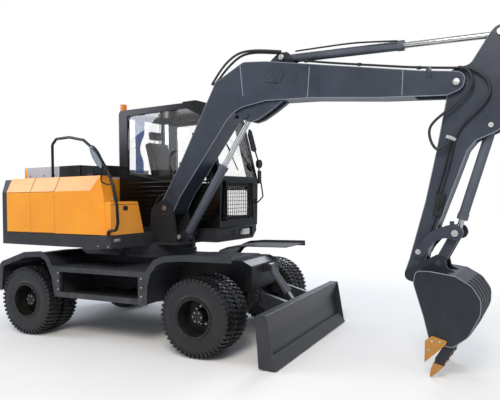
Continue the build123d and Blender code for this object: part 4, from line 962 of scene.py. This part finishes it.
# strips of painted highlight along the plate edges on both sides
for side, y in (("right", -203), ("left", 75)):
    seal_loop(filleted(boom_edge), y, 4, f"boom_edge_{side}", "boom", painted_edge_highlight)
# weld beads across the plate joints, in the same painted highlight
seams = (((2318, 2772), (2346, 3103)), ((1498, 2871), (1462, 3235)), ((3336, 2680), (3348, 2925)))
welds = []
for low, high in seams:
    middle = ((low[0] + high[0]) / 2, (low[1] + high[1]) / 2)
    welds += rows((low, middle, high), (-203.5, 75.5))
line("boom_welds", welds, 5, painted_edge_highlight, "boom", "grey_paint", PARKED)


def cap(bm, pin, y, out, radius, tip, disc, head, bolt, sides=28, edge=0):
    """A disc over a pin's end at (x, z), facing out, and the hex bolt that holds it."""
    x, z = pin
    rod(bm, (x, y, z), (x, y + disc * out, z), radius, sides, tip, edge=edge)
    rod(bm, (x, y + disc * out, z), (x, y + head * out, z), bolt, 6)


BOOM_NOSE, BOOM_FOOT, BOOM_RAM_BASE, ARM_RAM_BASE = (3844, 2752), (315, 1563), (546, 1210), (1994, 3257)
bm = bmesh.new()
for pin, near, far in ((BOOM_NOSE, -216, 88), (ARM_RAM_BASE, -190, 62)):
    for y, out in ((near, -1), (far, 1)):
        cap(bm, pin, y, out, 33, 31, 5, 13, 9, 32, 1.5)
piece("boom_pin_caps", bm, raw_steel, "boom", PARKED)
bm = bmesh.new()
for y, out in ((-238, -1), (110, 1)):
    for pin, radius in ((BOOM_FOOT, 40), (BOOM_RAM_BASE, 32)):
        cap(bm, pin, y, out, radius, radius - 3, 8, 15, 11, 32, 1)
    for x, z in ((300, 1490), (330, 1490)):
        rod(bm, (x, y, z), (x, y + 12 * out, z), 10, 6)
piece("bracket_pin_caps", bm, raw_steel, "upper", PARKED)
bm = bmesh.new()
outline(bm, [(1782, 2990), (1795, 3150), (2010, 3120), (2035, 3060), (1985, 2972)], -208, 9, 2)
block(bm, (3569, -211, 2830), (3620, -204, 2925), 3)
piece("boom_brackets", bm, boom_enamel, "boom", PARKED)

# Hydraulic lines of the boom: steel pipes clamped along its back and its top, hoses over
# the knee to the arm's cylinder, and loops over the joint of boom and arm.
pipe_enamel = enamel("pipe_enamel", "1A1C21", "25282E", "5A564E", 0.34, 2.0, 0.15)
PIPE_YS = (-150, -105, -40, 10)
back = [(262, 1748), (306, 1776), (420, 1945), (532, 2130), (740, 2490), (942, 2836), (1066, 3050)]
line("boom_back_pipes", rows(back, PIPE_YS), 11, pipe_enamel, "boom", "charcoal_paint", PARKED)


def bend(first, second, start, end):
    """Where a hose leaves one body and joins the other, for a piece that then rides on neither."""
    return (first, second, PARKED @ Vector(start), PARKED @ Vector(end))


foot = [(20, 1292), (28, 1420), (70, 1580), (150, 1700), (215, 1738), (262, 1748)]
over_foot = bend("upper", "boom", (20, -64, 1300), (262, -64, 1748))
line("foot_hoses", rows(foot, PIPE_YS), 13, hose_rubber, over_foot, "black_plastic", PARKED)
outer_knee = [
    (1066, 3050), (1128, 3124), (1202, 3210), (1303, 3300), (1443, 3372), (1606, 3380), (1804, 3352),
    (2007, 3310),
]
inner_knee = [
    (1066, 3050), (1140, 3105), (1217, 3185), (1318, 3268), (1445, 3345), (1582, 3365), (1781, 3342),
    (2011, 3295),
]
knee = rows(outer_knee, (-214,)) + rows(inner_knee, (-174,))
line("knee_hoses", knee, 14, hose_rubber, "boom", "black_plastic", PARKED)
top = [(2040, 3228), (2229, 3184), (2612, 3102), (3100, 3010), (3510, 2932), (3866, 2884)]
drop = [(1872, -216, 3123), (1890, -220, 3060), (1934, -216, 2969)]
top_pipes = rows(top, (-200, -177)) + [drop]
line("boom_top_pipes", top_pipes, 10, pipe_enamel, "boom", "charcoal_paint", PARKED)
bm = bmesh.new()
for x, z in ((306, 1776), (532, 2130), (740, 2490), (942, 2836)):
    block(bm, (x - 16, -170, z - 16), (x + 16, 30, z + 16), 4)
for x, z in ((2300, 3168), (2900, 3048), (3500, 2934)):
    block(bm, (x - 20, -213, z - 14), (x + 20, -166, z + 14), 4)
piece("boom_pipe_clamps", bm, black_plastic, "boom", PARKED)
outer_loop = [
    (3866, 2884), (3929, 2878), (3985, 2800), (3988, 2696), (3883, 2578), (3748, 2479), (3620, 2380),
    (3590, 2292), (3626, 2165), (3699, 2104), (3795, 2215),
]
inner_loop = [
    (3866, 2884), (3929, 2888), (4049, 2817), (4124, 2725), (4139, 2615), (4046, 2488), (3880, 2355),
    (3827, 2240),
]
loops = rows(outer_loop, (-226,)) + rows(inner_loop, (-196,))
over_joint = bend("boom", "arm", (3866, -210, 2884), (3800, -210, 2215))
line("joint_hoses", loops, 13, hose_rubber, over_joint, "black_plastic", PARKED)

# Arm: the same welded box, its edges lined with painted highlight. Pipes run down its near face
# to a shut-off valve, and over its cylinder to the rod end.
arm_edge = [
    (4140, 3185, 70), (4218, 3260, 70), (4300, 3185, 70), (4310, 2900, 200), (4240, 2480, 120),
    (4215, 2290, 75), (4100, 2240, 60), (4000, 2200, 60), (3925, 2110, 100), (3815, 1813, 300),
    (3655, 1400, 400), (3550, 1130, 200), (3490, 860, 80), (3350, 830, 80), (3335, 930, 60),
    (3384, 1068, 200), (3545, 1643, 400), (3650, 2114, 400), (3754, 2646, 60), (3720, 2760, 100),
    (3790, 2880, 100), (3960, 2910, 100),
]
# strips of painted highlight along the plate edges on both sides
for side, y in (("right", -158), ("left", 30)):
    seal_loop(filleted(arm_edge), y, 4, f"arm_edge_{side}", "arm", painted_edge_highlight)
first = [(3764, -172, 2122), (3735, -172, 1981), (3688, -172, 1820), (3652, -172, 1716)]
below = [(3640, -172, 1495), (3610, -172, 1380), (3560, -172, 1290)]
second = [(3827, -172, 2240), (3800, -172, 2122), (3771, -172, 1981), (3724, -172, 1820), (3690, -172, 1716)]
arm_pipes = [[(3795, -178, 2215)] + first, below, second]
line("arm_pipes", arm_pipes, 10, pipe_enamel, "arm", "charcoal_paint", PARKED)
bm = bmesh.new()
outline(bm, [(3610, 1500), (3655, 1716), (3735, 1700), (3690, 1490)], -176, 32, 5)
rod(bm, (3672, -192, 1605), (3672, -212, 1605), 26, 24, edge=4)
block(bm, (3662, -224, 1560), (3682, -210, 1650), 5)
piece("arm_valve", bm, black_plastic, "arm", PARKED)
bm = bmesh.new()
outline(bm, [(3752, 2268), (3838, 2232), (3824, 2200), (3738, 2236)], -178, 40, 5)
for x, z in ((3770, 2244), (3812, 2226)):
    rod(bm, (x, -198, z), (x, -205, z), 8, 6)
piece("arm_pipe_clamp", bm, lid_enamel, "arm", PARKED)
bm = bmesh.new()
ARM_RAM_PIN, BUCKET_RAM_BASE, ROCKER_PIN, LINK_TOP = (4218, 3174), (4133, 2333), (3481, 1148), (3820, 1336)
arm_pins = ((ARM_RAM_PIN, 30, -171, 43), (BUCKET_RAM_BASE, 25, -167, 39), (ROCKER_PIN, 28, -228, 100))
for pin, radius, near, far in arm_pins:
    for y, out in ((near, -1), (far, 1)):
        cap(bm, pin, y, out, radius, radius - 2, 4, 11, 8)
piece("arm_pin_caps", bm, raw_steel, "arm", PARKED)
over = [[(2155, -150, 3305), (2475, -150, 3300), (2777, -150, 3293), (2970, -150, 3277), (3280, -140, 3240)]]
line("arm_cylinder_pipes", over, 9, pipe_enamel, "arm_cylinder_barrel", "charcoal_paint", PARKED)

# Rocker and link: two cut steel cheeks and a cast link in the boom's enamel. The cheeks'
# upper pin ends under pale discs that are bolted on.
bm = bmesh.new()
for y, out in ((-228, -1), (100, 1)):
    cap(bm, LINK_TOP, y, out, 34, 32, 4, 9, 10)
piece("rocker_pin_caps", bm, raw_steel, "rocker", PARKED)

# Bucket: bent and welded wear plate, dark at the sides, with scoured wear strips over the
# curve of its back, and with worn gold-painted tips and bolted side cutters.
bucket_enamel = enamel("bucket_enamel", "1D2129", "252A33", "55534E", 0.36, 0.9, 0.15)
dress(bucket_enamel, "bucket")
tool_paint = enamel("tool_gold_enamel", "B9823A", "A87434", "7D6A52", 0.42, 0.5, 0.4)
dress(tool_paint, "bucket_teeth")
bucket_edge = [
    (3480, 867, 40), (3572, 560, 0), (3625, 330, 0), (3826, 309, 60), (3960, 420, 150), (4063, 631, 150),
    (4069, 760, 120), (3990, 880, 120), (3850, 960, 80), (3620, 990, 60), (3500, 985, 50),
]
# strips of painted highlight along the side edges on both sides
for side, y in (("right", -411), ("left", 283)):
    seal_loop(filleted(bucket_edge), y, 4, f"bucket_edge_{side}", "bucket", painted_edge_highlight)
bm = bmesh.new()
strip_half, strip_thickness = 22, 7
inside = Vector((3780, 660))
back = filleted(bucket_edge[3:9])[2:-2]
for y in (-330, -200, -64, 72, 202):
    for (x1, z1), (x2, z2) in zip(back, back[1:]):
        run = Vector((x2 - x1, z2 - z1))
        # the strips stop below the top, and where the outline jumps
        if (x1 < 3800 and z1 > 900) or not 4 <= run.length <= 400:
            continue
        out = Vector((-run.y, run.x)).normalized() * strip_thickness
        if out.dot(Vector(((x1 + x2) / 2, (z1 + z2) / 2)) - inside) < 0:
            out = -out
        section = ((x1, z1), (x2, z2), (x2 + out.x, z2 + out.y), (x1 + out.x, z1 + out.y))
        ends = (y - strip_half, y + strip_half)
        verts = [bm.verts.new((x, end, z)) for end in ends for x, z in section]
        bmesh.ops.convex_hull(bm, input=verts)
piece("bucket_wear_strips", bm, worn_edge, "bucket", PARKED)
bm = bmesh.new()
for y, out in ((-433, -1), (305, 1)):
    for x, z in ((3650, 352), (3622, 268), (3720, 356)):
        rod(bm, (x, y, z), (x, y + 8 * out, z), 12, 6)
piece("cutter_bolts", bm, raw_steel, "bucket", PARKED)
